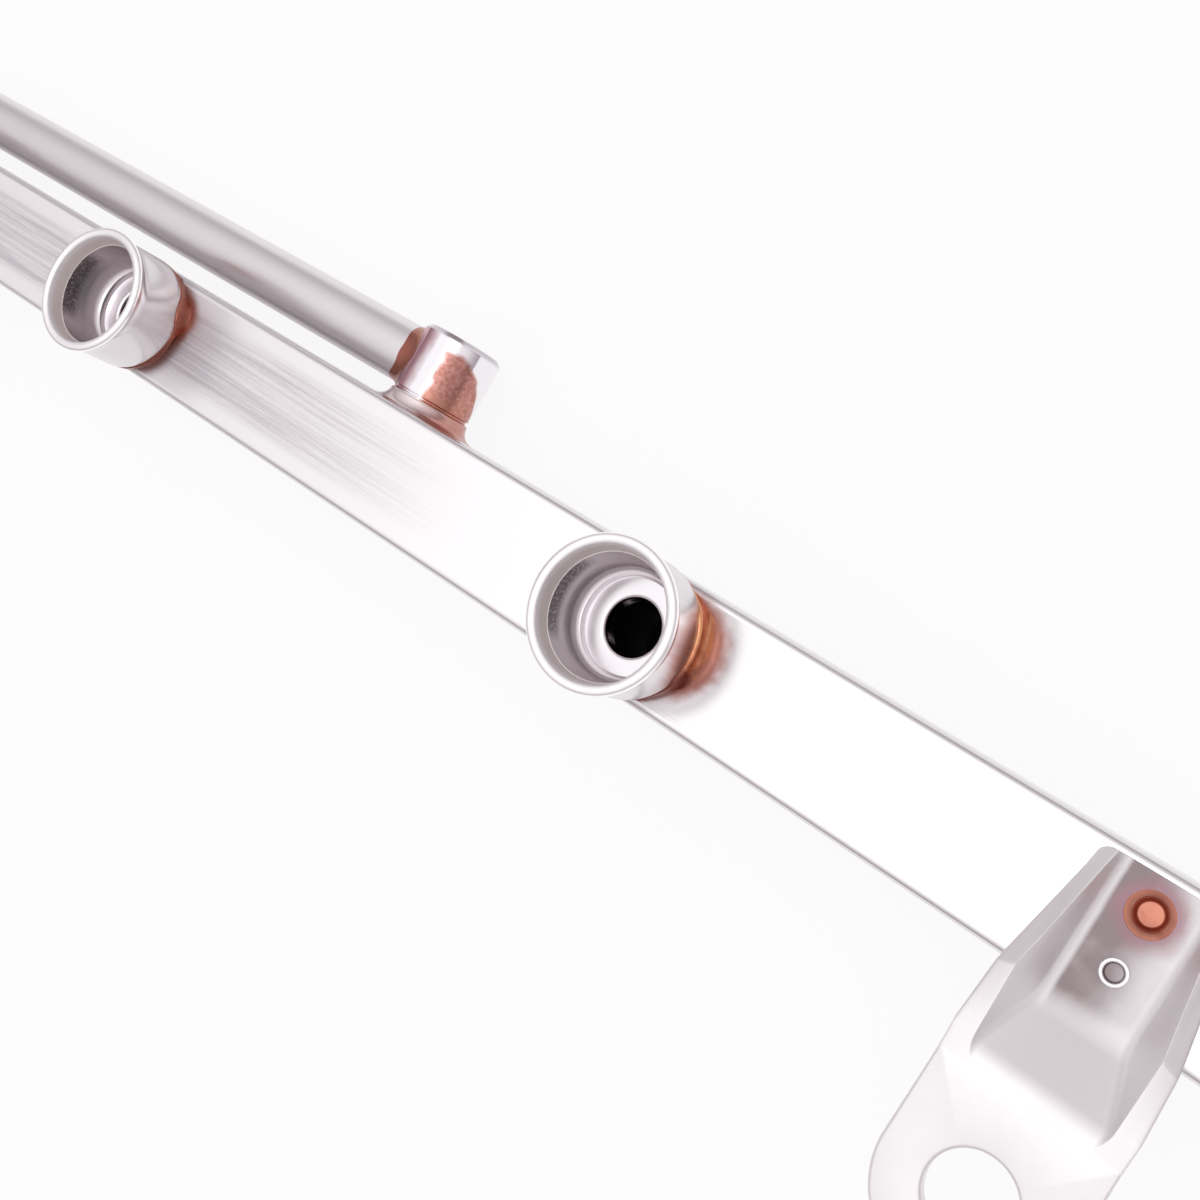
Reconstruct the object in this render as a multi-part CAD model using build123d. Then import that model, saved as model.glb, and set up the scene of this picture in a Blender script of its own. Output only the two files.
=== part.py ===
"""Fuel rail for a four-cylinder engine: stainless pieces joined with copper braze.

Frame, in millimetres: +X along the rail, +Y towards the side that carries the feed boss,
+Z towards the engine, which is the way the injector cups open. The origin is the middle
of the rail's back face, so the rail lies on Z = 0.
"""

from build123d import *

import os
from math import cos, hypot, radians, sin, sqrt, tan

# ---------------------------------------------------------------- rail tube and its ends
RAIL_WIDTH = 15.2  # outside, along Y
RAIL_DEPTH = 15.2  # outside, along Z
RAIL_WALL = 1.2
RAIL_CORNER = 1.0  # outside corner radius
RAIL_INNER_CORNER = 0.4
RAIL_END_MARGIN = 15.0  # from the last cup's axis to the end of the tube
CAP_LENGTH = 5.0
CAP_SHEET = 1.2
CAP_SETBACK = 0.8  # from the end of the tube to the cap's rim

# ---------------------------------------------------------------- injector cups
CUP_COUNT = 4
CUP_PITCH = 90.0
CUP_BODY_R = 8.1
CUP_WALL = 1.1
CUP_HEIGHT = 10.1  # mouth above the rail's face
CUP_BASE = 1.2  # thickness of the floor
CUP_CORNER = 2.0  # outside radius between the body and the floor
LIP_OVERHANG = 0.73  # lip's outside radius, past the body
LIP_OPENING = 0.44  # mouth's radius, past the bore
LIP_TALL = 2.7  # height of the flared lip
LEAD_IN_DEPTH = 2.3  # from the mouth to the start of the bore
SEAT_RISE = 2.6  # floor to the lower end of the bore
SEAT_INSET = 1.12  # from the bore to the ring at the foot of the seat's slope
SEAT_STEP_TALL = 0.9  # floor to that ring
SEAT_HOLLOW = 0.35  # how far the seat's slope is bowed in
FLOOR_INSET = 1.4  # from the bore to the flat floor
CUP_HOLE_R = 3.4
CUP_HOLE_ROUND = 0.5
RAIL_PORT_R = 3.27  # hole in the rail's wall under each cup

# ---------------------------------------------------------------- feed pipe and boss
PIPE_OD = 8.0
PIPE_WALL = 0.9
PIPE_GAP = 2.4  # between the pipe and the rail's side
PIPE_PAST_RAIL = 40.0  # from the rail's end to the pipe's end
SPIGOT_LENGTH = 22.0  # from the pipe's end to its retaining bead
BEAD_TALL = 0.95  # past the pipe's surface
BEAD_WIDE = 2.4
NOSE_ROUND = 0.6
BOSS_SIDE_WALL = 1.4  # between the pipe and the boss's surface
BOSS_END_WALL = 0.8  # past the pipe, at the closed end
BOSS_CHAMFER = 0.6
BOSS_GROOVE_UP = 2.2  # above the rail's side face
BOSS_GROOVE_DEEP = 0.3
BOSS_GROOVE_WIDE = 0.5
BOSS_SPIGOT_R = 3.9  # the turned spigot that stands in the rail's wall
BOSS_BORE_R = 2.6
PIPE_SEAT = 2.0  # how far the pipe's end stops before the boss's axis
SADDLE_LENGTH = 10.0
SADDLE_TALL = 8.0
SADDLE_FROM_END = 22.0  # from the rail's end

# ---------------------------------------------------------------- mounting brackets
BRACKET_FROM_CUP = 31.45  # bracket's middle, inboard of the last cup
SHEET = 2.0
WEB_FLAT = 6.7  # flat width between the two bends
BEND_R = 1.5  # inside radius of the flanges' bends
FLANGE_LEAN = 30.0  # degrees out from upright
FLANGE_TALL = 3.9  # before the edge is trimmed
WEB_INSET = 1.4  # from the rail's side to the web's end, on the boss's side
ARM_INSET = 0.9  # from the rail's other side to where the web starts to rise
ARM_RISE = 35.0  # degrees
ARM_BEND_R = 4.2  # on the flanges' side
EAR_BEND_R = 2.5  # inside
EAR_TALL = 5.0  # the ear's underside above the rail's face
EAR_HOLE_FROM_ARM = 9.5  # bolt's axis past the arm's upper bend
EAR_R = 9.0
BOLT_HOLE_R = 4.2
FLANGE_START_TALL = 0.25  # at the web's end, above the web
FLANGE_SLOPE = 0.245  # rise of the flanges' edge for each millimetre towards the ear
WEB_CORNER = 2.2  # plan corner radius at the web's end
FEED_HOLE_R = 2.25  # lets the braze in under the web
FEED_HOLE_FROM_END = 3.1
TACK_R = 1.15  # dent of the weld that holds the bracket for brazing
TACK_DEEP = 0.5
TACK_RIM = 0.35
TACK_FROM_END = 9.2

# ---------------------------------------------------------------- copper braze
BRAZE_GAP = 0.05  # clearance of a piece that stands in another
CUP_FILLET = 2.5  # reach of the copper on the rail, past the cup's body
CUP_FILLET_TALL = 1.75
CUP_FILLET_HOLLOW = 0.55  # how far its face is bowed in
CUP_BEAD = 0.3  # rounded top edge of that copper
BOSS_FILLET = 2.1
BOSS_FILLET_TALL = 1.9
BOSS_FILLET_HOLLOW = 0.5
PIPE_FILLET = 1.6  # along the pipe
PIPE_FILLET_TALL = 0.7
PIPE_FILLET_HOLLOW = 0.2
PIPE_FILLET_EDGE = 0.05  # thickness of its edge on the pipe
DISH_EDGE = 1.5  # height of the copper at the feed hole's wall
DISH_MIDDLE = 0.35
DISH_HOLLOW = 0.25
SADDLE_FILLET = 0.7

# ---------------------------------------------------------------- worked out from the above
RAIL_LENGTH = CUP_PITCH * (CUP_COUNT - 1) + 2 * RAIL_END_MARGIN
RAIL_END = RAIL_LENGTH / 2
SIDE_Y = RAIL_WIDTH / 2
MID_Z = RAIL_DEPTH / 2
CUP_BORE_R = CUP_BODY_R - CUP_WALL  # seals on the injector's O-ring
PIPE_R = PIPE_OD / 2
PIPE_Y = SIDE_Y + PIPE_GAP + PIPE_R
PIPE_END = -(RAIL_END + PIPE_PAST_RAIL)
BOSS_R = PIPE_R + BOSS_SIDE_WALL
BOSS_LENGTH = PIPE_GAP + PIPE_OD + BOSS_END_WALL
BRACKET_X = RAIL_END - RAIL_END_MARGIN - BRACKET_FROM_CUP
WEB_END_Y = SIDE_Y - WEB_INSET
ARM_START_Y = ARM_INSET - SIDE_Y


def cup_positions():
    """X of each cup's axis, from the low end of the rail."""
    first = -CUP_PITCH * (CUP_COUNT - 1) / 2
    return [first + CUP_PITCH * i for i in range(CUP_COUNT)]


def save(shape, node):
    export_step(shape, f"parts/{node}.step")


def turned(*lines):
    """A solid of revolution about Z from lines drawn as radius and height."""
    return revolve(Plane.XZ * make_face(Curve() + list(lines)), Axis.Z)


def arc_about(centre, start, end):
    """The shorter arc from start to end about a centre."""
    radius = hypot(start[0] - centre[0], start[1] - centre[1])
    across = (start[0] + end[0] - 2 * centre[0], start[1] + end[1] - 2 * centre[1])
    share = radius / hypot(*across)
    middle = (centre[0] + share * across[0], centre[1] + share * across[1])
    return ThreePointArc(start, middle, end)


def bow_middle(start, end, bow):
    """The point that stands off a chord's middle, to the left of the way it is drawn."""
    run = (end[0] - start[0], end[1] - start[1])
    share = bow / hypot(*run)
    return (
        (start[0] + end[0]) / 2 - share * run[1],
        (start[1] + end[1]) / 2 + share * run[0],
    )


def bowed(start, end, bow):
    """An arc whose middle stands off its chord by bow."""
    return ThreePointArc(start, bow_middle(start, end, bow), end)


def rounded_bar(width, depth, corner, length):
    """A bar along +X from X = 0, its section centred on the axis."""
    section = Plane.YZ * RectangleRounded(width, depth, corner)
    return extrude(section, length)


def on_boss_axis(solid):
    """Stand a solid made about Z on the rail's side face, at the middle of the rail."""
    return Pos(0, SIDE_Y, MID_Z) * Rot(-90, 0, 0) * solid


def on_pipe_axis(solid, x):
    """Lay a solid made about Z along the pipe, its +Z towards the pipe's free end."""
    return Pos(x, PIPE_Y, MID_Z) * Rot(0, -90, 0) * solid


# ------------------------------------------------------------------------------- the rail
def rail_outside():
    bar = rounded_bar(RAIL_WIDTH, RAIL_DEPTH, RAIL_CORNER, RAIL_LENGTH)
    return Pos(-RAIL_END, 0, MID_Z) * bar


def rail_tube():
    inner_width = RAIL_WIDTH - 2 * RAIL_WALL
    inner_depth = RAIL_DEPTH - 2 * RAIL_WALL
    bore = rounded_bar(inner_width, inner_depth, RAIL_INNER_CORNER, RAIL_LENGTH)
    tube = rail_outside() - Pos(-RAIL_END, 0, MID_Z) * bore
    port = Cylinder(RAIL_PORT_R, 2 * RAIL_WALL)
    for x in cup_positions():
        tube -= Pos(x, 0, RAIL_DEPTH) * port
    feed_port = Cylinder(BOSS_SPIGOT_R + BRAZE_GAP, 2 * RAIL_WALL)
    return tube - on_boss_axis(feed_port)


def end_cap():
    """A pressed dish that stands in the tube's end, open outwards, at +X from X = 0."""
    width = RAIL_WIDTH - 2 * RAIL_WALL - 2 * BRAZE_GAP
    depth = RAIL_DEPTH - 2 * RAIL_WALL - 2 * BRAZE_GAP
    shell = rounded_bar(width, depth, RAIL_INNER_CORNER, CAP_LENGTH)
    hollow = rounded_bar(
        width - 2 * CAP_SHEET, depth - 2 * CAP_SHEET, CAP_SHEET, CAP_LENGTH
    )
    return shell - Pos(CAP_SHEET, 0, 0) * hollow


def end_cap_braze():
    """Copper in the step between the cap's rim and the tube, at +X from X = 0."""
    width = RAIL_WIDTH - 2 * RAIL_WALL
    depth = RAIL_DEPTH - 2 * RAIL_WALL
    ring = rounded_bar(width, depth, RAIL_INNER_CORNER, CAP_SETBACK)
    mouth = loft(
        [
            Plane.YZ * RectangleRounded(width - 2 * CAP_SHEET, depth - 2 * CAP_SHEET, CAP_SHEET),
            Plane.YZ.offset(CAP_SETBACK)
            * RectangleRounded(width - CAP_SHEET / 2, depth - CAP_SHEET / 2, CAP_SHEET),
        ]
    )
    return ring - mouth


def at_end(solid, side):
    """Put a piece made for the +X end at either end; side is 1 or -1."""
    placed = solid if side > 0 else mirror(solid, Plane.YZ)
    return Pos(side * (RAIL_END - CAP_SETBACK), 0, MID_Z) * placed


# ------------------------------------------------------------------------------- the cups
def injector_cup():
    """Deep-drawn cup on Z = 0: flared lip, lead-in, O-ring bore, sloped seat and port."""
    lip_r = CUP_BODY_R + LIP_OVERHANG
    mouth_r = CUP_BORE_R + LIP_OPENING
    lip_top = ((lip_r + mouth_r) / 2, CUP_HEIGHT)
    lip_side = (lip_r, CUP_HEIGHT - LIP_OVERHANG)
    lip_inner = (mouth_r, CUP_HEIGHT - LIP_OPENING)
    flare_start = (CUP_BODY_R, CUP_HEIGHT - LIP_TALL)
    corner_top = (CUP_BODY_R, CUP_CORNER)
    corner_foot = (CUP_BODY_R - CUP_CORNER, 0)
    bore_top = (CUP_BORE_R, CUP_HEIGHT - LEAD_IN_DEPTH)
    bore_foot = (CUP_BORE_R, CUP_BASE + SEAT_RISE)
    seat_ring = (CUP_BORE_R - SEAT_INSET, CUP_BASE + SEAT_STEP_TALL)
    floor_edge = (CUP_BORE_R - FLOOR_INSET, CUP_BASE)
    hole_top = (CUP_HOLE_R + CUP_HOLE_ROUND, CUP_BASE)
    hole_side = (CUP_HOLE_R, CUP_BASE - CUP_HOLE_ROUND)
    return turned(
        Line((CUP_HOLE_R, 0), corner_foot),
        arc_about((corner_foot[0], CUP_CORNER), corner_foot, corner_top),
        Line(corner_top, flare_start),
        Spline(flare_start, lip_side, tangents=[(0, 1), (0.25, 1)]),
        ThreePointArc(lip_side, lip_top, lip_inner),
        Polyline(lip_inner, bore_top, bore_foot),
        bowed(bore_foot, seat_ring, SEAT_HOLLOW),
        Polyline(seat_ring, floor_edge, hole_top),
        arc_about((hole_top[0], hole_side[1]), hole_top, hole_side),
        Line(hole_side, (CUP_HOLE_R, 0)),
    )


def cup_braze():
    """Copper between the cup's rounded foot and the rail, in a concave fillet."""
    reach = CUP_BODY_R + CUP_FILLET
    foot = (CUP_BODY_R - CUP_CORNER, 0)
    wall = (CUP_BODY_R, CUP_CORNER)
    bead_top = (CUP_BODY_R, CUP_CORNER + CUP_BEAD)
    bead_foot = (CUP_BODY_R + CUP_BEAD, CUP_FILLET_TALL)
    below = -RAIL_CORNER
    ring = turned(
        Polyline(foot, (foot[0], below), (reach, below), (reach, 0)),
        bowed((reach, 0), bead_foot, CUP_FILLET_HOLLOW),
        bowed(bead_foot, bead_top, -CUP_BEAD / 3),
        Line(bead_top, wall),
        arc_about((foot[0], CUP_CORNER), wall, foot),
    )
    top = CUP_CORNER + CUP_BEAD
    over_edge = (CUP_BODY_R + CUP_BEAD, top)
    half_section = Plane.YZ * make_face(
        Polyline((0, below), (SIDE_Y, below), (SIDE_Y, 0), over_edge, (0, top), close=True)
    )
    half = extrude(half_section, RAIL_END, both=True)
    over_rail = half + mirror(half, Plane.XZ)
    return (ring & over_rail) - Pos(0, 0, -RAIL_DEPTH) * rail_outside()


# ------------------------------------------------------------------------------- the feed
def feed_boss():
    """Turned boss, closed at its end, with a spigot, a fuel bore and the pipe's socket."""
    groove_low = BOSS_GROOVE_UP - BOSS_GROOVE_WIDE / 2
    groove_high = BOSS_GROOVE_UP + BOSS_GROOVE_WIDE / 2
    groove_floor = (BOSS_R - BOSS_GROOVE_DEEP, BOSS_GROOVE_UP)
    pipe_up = PIPE_GAP + PIPE_R
    body = turned(
        Polyline(
            (0, -RAIL_WALL),
            (BOSS_SPIGOT_R, -RAIL_WALL),
            (BOSS_SPIGOT_R, 0),
            (BOSS_R, 0),
            (BOSS_R, groove_low),
        ),
        ThreePointArc((BOSS_R, groove_low), groove_floor, (BOSS_R, groove_high)),
        Polyline(
            (BOSS_R, groove_high),
            (BOSS_R, BOSS_LENGTH - BOSS_CHAMFER),
            (BOSS_R - BOSS_CHAMFER, BOSS_LENGTH),
            (0, BOSS_LENGTH),
            (0, -RAIL_WALL),
        ),
    )
    bore = Pos(0, 0, -RAIL_WALL) * Cylinder(
        BOSS_BORE_R, pipe_up + RAIL_WALL, align=(Align.CENTER, Align.CENTER, Align.MIN)
    )
    boss = on_boss_axis(body - bore)
    socket = Cylinder(
        PIPE_R + BRAZE_GAP, BOSS_R, align=(Align.CENTER, Align.CENTER, Align.MIN)
    )
    passage = Cylinder(
        PIPE_R - PIPE_WALL, PIPE_SEAT, align=(Align.CENTER, Align.CENTER, Align.MIN)
    )
    boss -= on_pipe_axis(socket, -PIPE_SEAT)
    return boss - on_pipe_axis(passage, 0)


def boss_braze():
    """Copper flare between the boss and the rail's side face."""
    reach = BOSS_R + BOSS_FILLET
    flare = turned(
        Line((BOSS_R, 0), (reach, 0)),
        bowed((reach, 0), (BOSS_R, BOSS_FILLET_TALL), BOSS_FILLET_HOLLOW),
        Line((BOSS_R, BOSS_FILLET_TALL), (BOSS_R, 0)),
    )
    flat_side = Box(2 * reach, 2 * BOSS_FILLET_TALL, RAIL_DEPTH - 2 * RAIL_CORNER)
    return on_boss_axis(flare) & Pos(0, SIDE_Y, MID_Z) * flat_side


def feed_pipe():
    """Straight pipe from the boss to past the rail's end, with a beaded, round-nosed end."""
    length = -PIPE_SEAT - PIPE_END
    bead_mid = length - SPIGOT_LENGTH - BEAD_WIDE / 2
    bead_low = bead_mid - BEAD_WIDE / 2
    bead_high = bead_mid + BEAD_WIDE / 2
    bore_r = PIPE_R - PIPE_WALL
    nose_r = PIPE_R - NOSE_ROUND
    nose_low = length - NOSE_ROUND
    pipe = turned(
        Polyline((bore_r, 0), (PIPE_R, 0), (PIPE_R, bead_low)),
        ThreePointArc(
            (PIPE_R, bead_low), (PIPE_R + BEAD_TALL, bead_mid), (PIPE_R, bead_high)
        ),
        Line((PIPE_R, bead_high), (PIPE_R, nose_low)),
        arc_about((nose_r, nose_low), (PIPE_R, nose_low), (nose_r, length)),
        Polyline((nose_r, length), (bore_r, length), (bore_r, 0)),
    )
    return on_pipe_axis(pipe, -PIPE_SEAT)


def pipe_braze():
    """Copper collar where the pipe enters the boss."""
    outer = PIPE_R + PIPE_FILLET_TALL
    low = 0.95 * sqrt(BOSS_R**2 - outer**2)
    shoulder = (outer, BOSS_R - PIPE_FILLET / 4)
    edge = (PIPE_R + PIPE_FILLET_EDGE, BOSS_R + PIPE_FILLET)
    collar = turned(
        Line((PIPE_R, low), (outer, low)),
        Line((outer, low), shoulder),
        Spline(shoulder, bow_middle(shoulder, edge, PIPE_FILLET_HOLLOW), edge),
        Polyline(edge, (PIPE_R, edge[1]), (PIPE_R, low)),
    )
    body = Cylinder(BOSS_R, 2 * BOSS_LENGTH)
    return on_pipe_axis(collar, 0) - on_boss_axis(body)


def saddle_x():
    return -(RAIL_END - SADDLE_FROM_END)


def pipe_saddle():
    """Spacer between the rail's side and the pipe, hollowed to the pipe's curve."""
    deep = PIPE_GAP + PIPE_R / 3
    block = Box(SADDLE_LENGTH, deep, SADDLE_TALL, align=(Align.CENTER, Align.MIN, Align.CENTER))
    block = Pos(saddle_x(), SIDE_Y, MID_Z) * block
    cradle = Cylinder(PIPE_R, 2 * SADDLE_LENGTH)
    return block - on_pipe_axis(cradle, saddle_x())


def saddle_braze():
    """Copper along the saddle's long edges, on the rail's side face."""
    section = Plane.YZ * make_face(
        Polyline((0, 0), (SADDLE_FILLET, 0), (0, SADDLE_FILLET), close=True)
    )
    strip = extrude(section, SADDLE_LENGTH)
    upper = Pos(saddle_x() - SADDLE_LENGTH / 2, SIDE_Y, MID_Z + SADDLE_TALL / 2) * strip
    return Compound([upper, mirror(upper, Plane.XY.offset(MID_Z))])


# --------------------------------------------------------------------------- the brackets
def flange_turn():
    return radians(90 - FLANGE_LEAN)


def channel_point(radius, share=1.0):
    """A point on one of a flange bend's two arcs, that share of the way round."""
    angle = flange_turn() * share
    x = WEB_FLAT / 2 + radius * sin(angle)
    return (x, SHEET + BEND_R - radius * cos(angle))


def up_flange(start, run):
    turn = flange_turn()
    return (start[0] + run * cos(turn), start[1] + run * sin(turn))


def channel_section():
    """Web and two leaning flanges, in the XZ plane, the web's underside on Z = 0."""
    outer_r = BEND_R + SHEET
    half = WEB_FLAT / 2
    inner_foot = channel_point(BEND_R)
    outer_foot = channel_point(outer_r)
    run = (FLANGE_TALL + SHEET - inner_foot[1]) / sin(flange_turn())
    inner_top = up_flange(inner_foot, run)
    outer_top = up_flange(outer_foot, run)
    right = Plane.XZ * make_face(
        Curve()
        + [
            Line((0, 0), (half, 0)),
            ThreePointArc((half, 0), channel_point(outer_r, 0.5), outer_foot),
            Polyline(outer_foot, outer_top, inner_top, inner_foot),
            ThreePointArc(inner_foot, channel_point(BEND_R, 0.5), (half, SHEET)),
            Polyline((half, SHEET), (0, SHEET), (0, 0)),
        ]
    )
    return right + mirror(right, Plane.YZ)


def arm_path():
    """The line of the web's underside: flat on the rail, then up to the ear's level."""
    rise = radians(ARM_RISE)
    low_r = ARM_BEND_R + SHEET
    low_end_y = ARM_START_Y - low_r * sin(rise)
    low_end_z = low_r * (1 - cos(rise))
    low_mid_y = ARM_START_Y - low_r * sin(rise / 2)
    low_mid_z = low_r * (1 - cos(rise / 2))
    top_start_z = EAR_TALL - EAR_BEND_R * (1 - cos(rise))
    top_start_y = low_end_y - (top_start_z - low_end_z) / tan(rise)
    top_end_y = top_start_y - EAR_BEND_R * sin(rise)
    top_mid_y = top_end_y + EAR_BEND_R * sin(rise / 2)
    top_mid_z = EAR_TALL - EAR_BEND_R * (1 - cos(rise / 2))
    flat_end = (ARM_START_Y, 0)
    low_end = (low_end_y, low_end_z)
    top_start = (top_start_y, top_start_z)
    top_end = (top_end_y, EAR_TALL)
    return Plane.YZ * (
        Curve()
        + [
            Line((WEB_END_Y, 0), flat_end),
            ThreePointArc(flat_end, (low_mid_y, low_mid_z), low_end),
            Line(low_end, top_start),
            ThreePointArc(top_start, (top_mid_y, top_mid_z), top_end),
        ]
    )


def ear_start_y():
    return min(vertex.Y for vertex in arm_path().vertices())


def ear_hole_y():
    return ear_start_y() - EAR_HOLE_FROM_ARM


def above_flange_edge():
    """What is cut off above the flanges' straight sloping edge and above the ear."""
    edge_start = SHEET + FLANGE_START_TALL
    ear_top = EAR_TALL + SHEET
    level_y = WEB_END_Y - (ear_top - edge_start) / FLANGE_SLOPE
    high = ear_top + 2 * FLANGE_TALL
    past = SHEET
    far_y = ear_hole_y()
    side = Plane.YZ * make_face(
        Polyline(
            (WEB_END_Y + past, edge_start - FLANGE_SLOPE * past),
            (level_y, ear_top),
            (far_y, ear_top),
            (far_y, high),
            (WEB_END_Y + past, high),
            close=True,
        )
    )
    return extrude(side, WEB_FLAT + 2 * FLANGE_TALL, both=True)


def outside_web_corner():
    """What is cut off outside the plan rounding of one corner of the web's end."""
    outer_foot = channel_point(BEND_R + SHEET)
    run = (SHEET + FLANGE_START_TALL - outer_foot[1]) / sin(flange_turn())
    corner_x = up_flange(outer_foot, run)[0]
    centre = Pos(corner_x - WEB_CORNER, WEB_END_Y - WEB_CORNER, 0)
    block = Box(3 * WEB_CORNER, 3 * WEB_CORNER, 4 * FLANGE_TALL, align=Align.MIN)
    block = Pos(0, 0, -FLANGE_TALL) * block
    return centre * (block - Cylinder(WEB_CORNER, 10 * FLANGE_TALL))


def ear():
    """Flat ear, widening from the arm to a round end about the bolt's axis."""
    arm_half = channel_point(BEND_R + SHEET)[0]
    neck = Line((-arm_half, ear_start_y()), (arm_half, ear_start_y()))
    round_end = Pos(0, ear_hole_y()) * CenterArc((0, 0), EAR_R, 0, 360)
    outline = make_hull(neck.edges() + round_end.edges())
    return Pos(0, 0, EAR_TALL) * extrude(outline, SHEET)


def bracket():
    """Pressed bracket about X = 0, its web on Z = 0: channel, rising arm and bolt ear."""
    section = Pos(0, WEB_END_Y, 0) * channel_section()
    arm = sweep(section, path=Wire(arm_path().edges()))
    arm -= above_flange_edge()
    corner = outside_web_corner()
    arm -= corner
    arm -= mirror(corner, Plane.YZ)
    plate = arm + ear()
    plate -= Pos(0, ear_hole_y(), EAR_TALL) * Cylinder(BOLT_HOLE_R, 3 * SHEET)
    plate -= Pos(0, WEB_END_Y - FEED_HOLE_FROM_END, 0) * Cylinder(FEED_HOLE_R, 3 * SHEET)
    return plate - tack_dent()


def tack_dent():
    """Shallow round dent with sloped sides in the web's upper face."""
    dent = Cone(
        TACK_R - TACK_RIM, TACK_R, TACK_DEEP, align=(Align.CENTER, Align.CENTER, Align.MAX)
    )
    return Pos(0, WEB_END_Y - TACK_FROM_END, SHEET) * dent


def bracket_braze():
    """Dished copper that fills the foot of the web's feed hole."""
    dish = turned(
        Line((0, 0), (FEED_HOLE_R, 0)),
        Line((FEED_HOLE_R, 0), (FEED_HOLE_R, DISH_EDGE)),
        bowed((FEED_HOLE_R, DISH_EDGE), (FEED_HOLE_R / 2, DISH_MIDDLE), -DISH_HOLLOW),
        Line((FEED_HOLE_R / 2, DISH_MIDDLE), (0, DISH_MIDDLE)),
        Line((0, DISH_MIDDLE), (0, 0)),
    )
    return Pos(0, WEB_END_Y - FEED_HOLE_FROM_END, 0) * dish


# ------------------------------------------------------------------------------ the pieces
os.makedirs("parts", exist_ok=True)

save(rail_tube(), "rail_tube")
for side, name in ((-1, "left"), (1, "right")):
    cap = Pos(-CAP_LENGTH, 0, 0) * end_cap()
    save(at_end(cap, side), f"end_cap_{name}")
    save(at_end(end_cap_braze(), side), f"end_cap_braze_{name}")
    on_rail = Pos(side * BRACKET_X, 0, RAIL_DEPTH)
    save(on_rail * bracket(), f"bracket_{name}")
    save(on_rail * bracket_braze(), f"bracket_braze_{name}")

for number, x in enumerate(cup_positions(), start=1):
    save(Pos(x, 0, RAIL_DEPTH) * injector_cup(), f"injector_cup_{number}")
    save(Pos(x, 0, RAIL_DEPTH) * cup_braze(), f"cup_braze_{number}")

save(feed_boss(), "feed_boss")
save(boss_braze(), "feed_boss_braze")
save(feed_pipe(), "feed_pipe")
save(pipe_braze(), "feed_pipe_braze")
save(pipe_saddle(), "pipe_saddle")
save(saddle_braze(), "pipe_saddle_braze")
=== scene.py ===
"""Dresses the fuel rail: finished surfaces, copper braze as it flowed, and a plain studio.

Laid out as an add-on and run as a script. Every piece is in metres, in the model's frame:
+X along the rail, +Y towards the feed boss, +Z out of the injector cups.
"""

from math import acos, copysign, cos, hypot, pi, radians, sin, sqrt, tan

import bmesh
import bpy
from bpy.types import Operator, Panel, PropertyGroup
from mathutils import Matrix, Vector, noise


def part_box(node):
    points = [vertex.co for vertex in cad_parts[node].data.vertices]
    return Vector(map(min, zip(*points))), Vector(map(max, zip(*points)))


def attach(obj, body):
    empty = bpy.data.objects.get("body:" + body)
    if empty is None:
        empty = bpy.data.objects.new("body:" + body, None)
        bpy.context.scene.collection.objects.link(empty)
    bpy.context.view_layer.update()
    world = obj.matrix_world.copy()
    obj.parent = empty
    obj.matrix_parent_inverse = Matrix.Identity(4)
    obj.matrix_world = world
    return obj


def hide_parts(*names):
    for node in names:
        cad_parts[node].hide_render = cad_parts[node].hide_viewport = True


bl_info = {
    "name": "Fuel rail finisher",
    "version": (1, 0, 0),
    "blender": (4, 5, 0),
    "location": "3D View > Sidebar > Fuel rail",
    "description": "Finishes the pieces of a copper-brazed stainless fuel rail",
    "category": "Object",
}

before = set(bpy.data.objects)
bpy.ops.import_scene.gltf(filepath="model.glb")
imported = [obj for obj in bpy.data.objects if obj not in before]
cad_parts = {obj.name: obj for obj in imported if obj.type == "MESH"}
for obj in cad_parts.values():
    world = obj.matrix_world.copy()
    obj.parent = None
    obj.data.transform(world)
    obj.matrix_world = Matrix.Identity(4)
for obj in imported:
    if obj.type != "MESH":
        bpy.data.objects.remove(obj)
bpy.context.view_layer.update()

MM = 0.001
BODY = "root"
WELD = 0.0001 * MM
CUPS = ("injector_cup_1", "injector_cup_2", "injector_cup_3", "injector_cup_4")

RAIL_LOW, RAIL_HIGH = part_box("rail_tube")
RAIL_WIDTH = RAIL_HIGH.y - RAIL_LOW.y
RAIL_TOP = RAIL_HIGH.z
RAIL_SIDE = RAIL_HIGH.y
RAIL_MIDDLE = (RAIL_HIGH.z + RAIL_LOW.z) / 2
RAIL_CORNER = 1.0 * MM


def middle(node):
    low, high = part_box(node)
    return (low + high) / 2


CUP_X = [middle(name).x for name in CUPS]
CUP_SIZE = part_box("injector_cup_1")[1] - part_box("injector_cup_1")[0]
BOSS_LOW, BOSS_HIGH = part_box("feed_boss")
BOSS_RADIUS = (BOSS_HIGH.x - BOSS_LOW.x) / 2
PIPE_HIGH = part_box("feed_pipe")[1]
PIPE_MIDDLE = middle("feed_pipe")
BRACKET_X = middle("bracket_right").x
BRACKET_FEED_Y = middle("bracket_braze_right").y


# ---- sizes and colours
def scalar(label, default, text, **kind):
    return bpy.props.FloatProperty(name=label, description=text, default=default, **kind)


def vector(label, default, text, **kind):
    return bpy.props.FloatVectorProperty(name=label, description=text, default=default, **kind)


def size(label, default_mm, text):
    return scalar(label, default_mm * MM, text, unit="LENGTH")


def colour(label, default, text):
    text += ", as an sRGB hex value"
    return bpy.props.StringProperty(name=label, description=text, default=default)


def steps_round(default, text):
    return bpy.props.IntProperty(name="Steps round", description=text, default=default, min=24)


def pool(label, place_mm):
    text = "X and Y of the pool's middle from the cup's axis, and the pool's radius"
    return vector(label, [mm * MM for mm in place_mm], text, unit="LENGTH")


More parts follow.
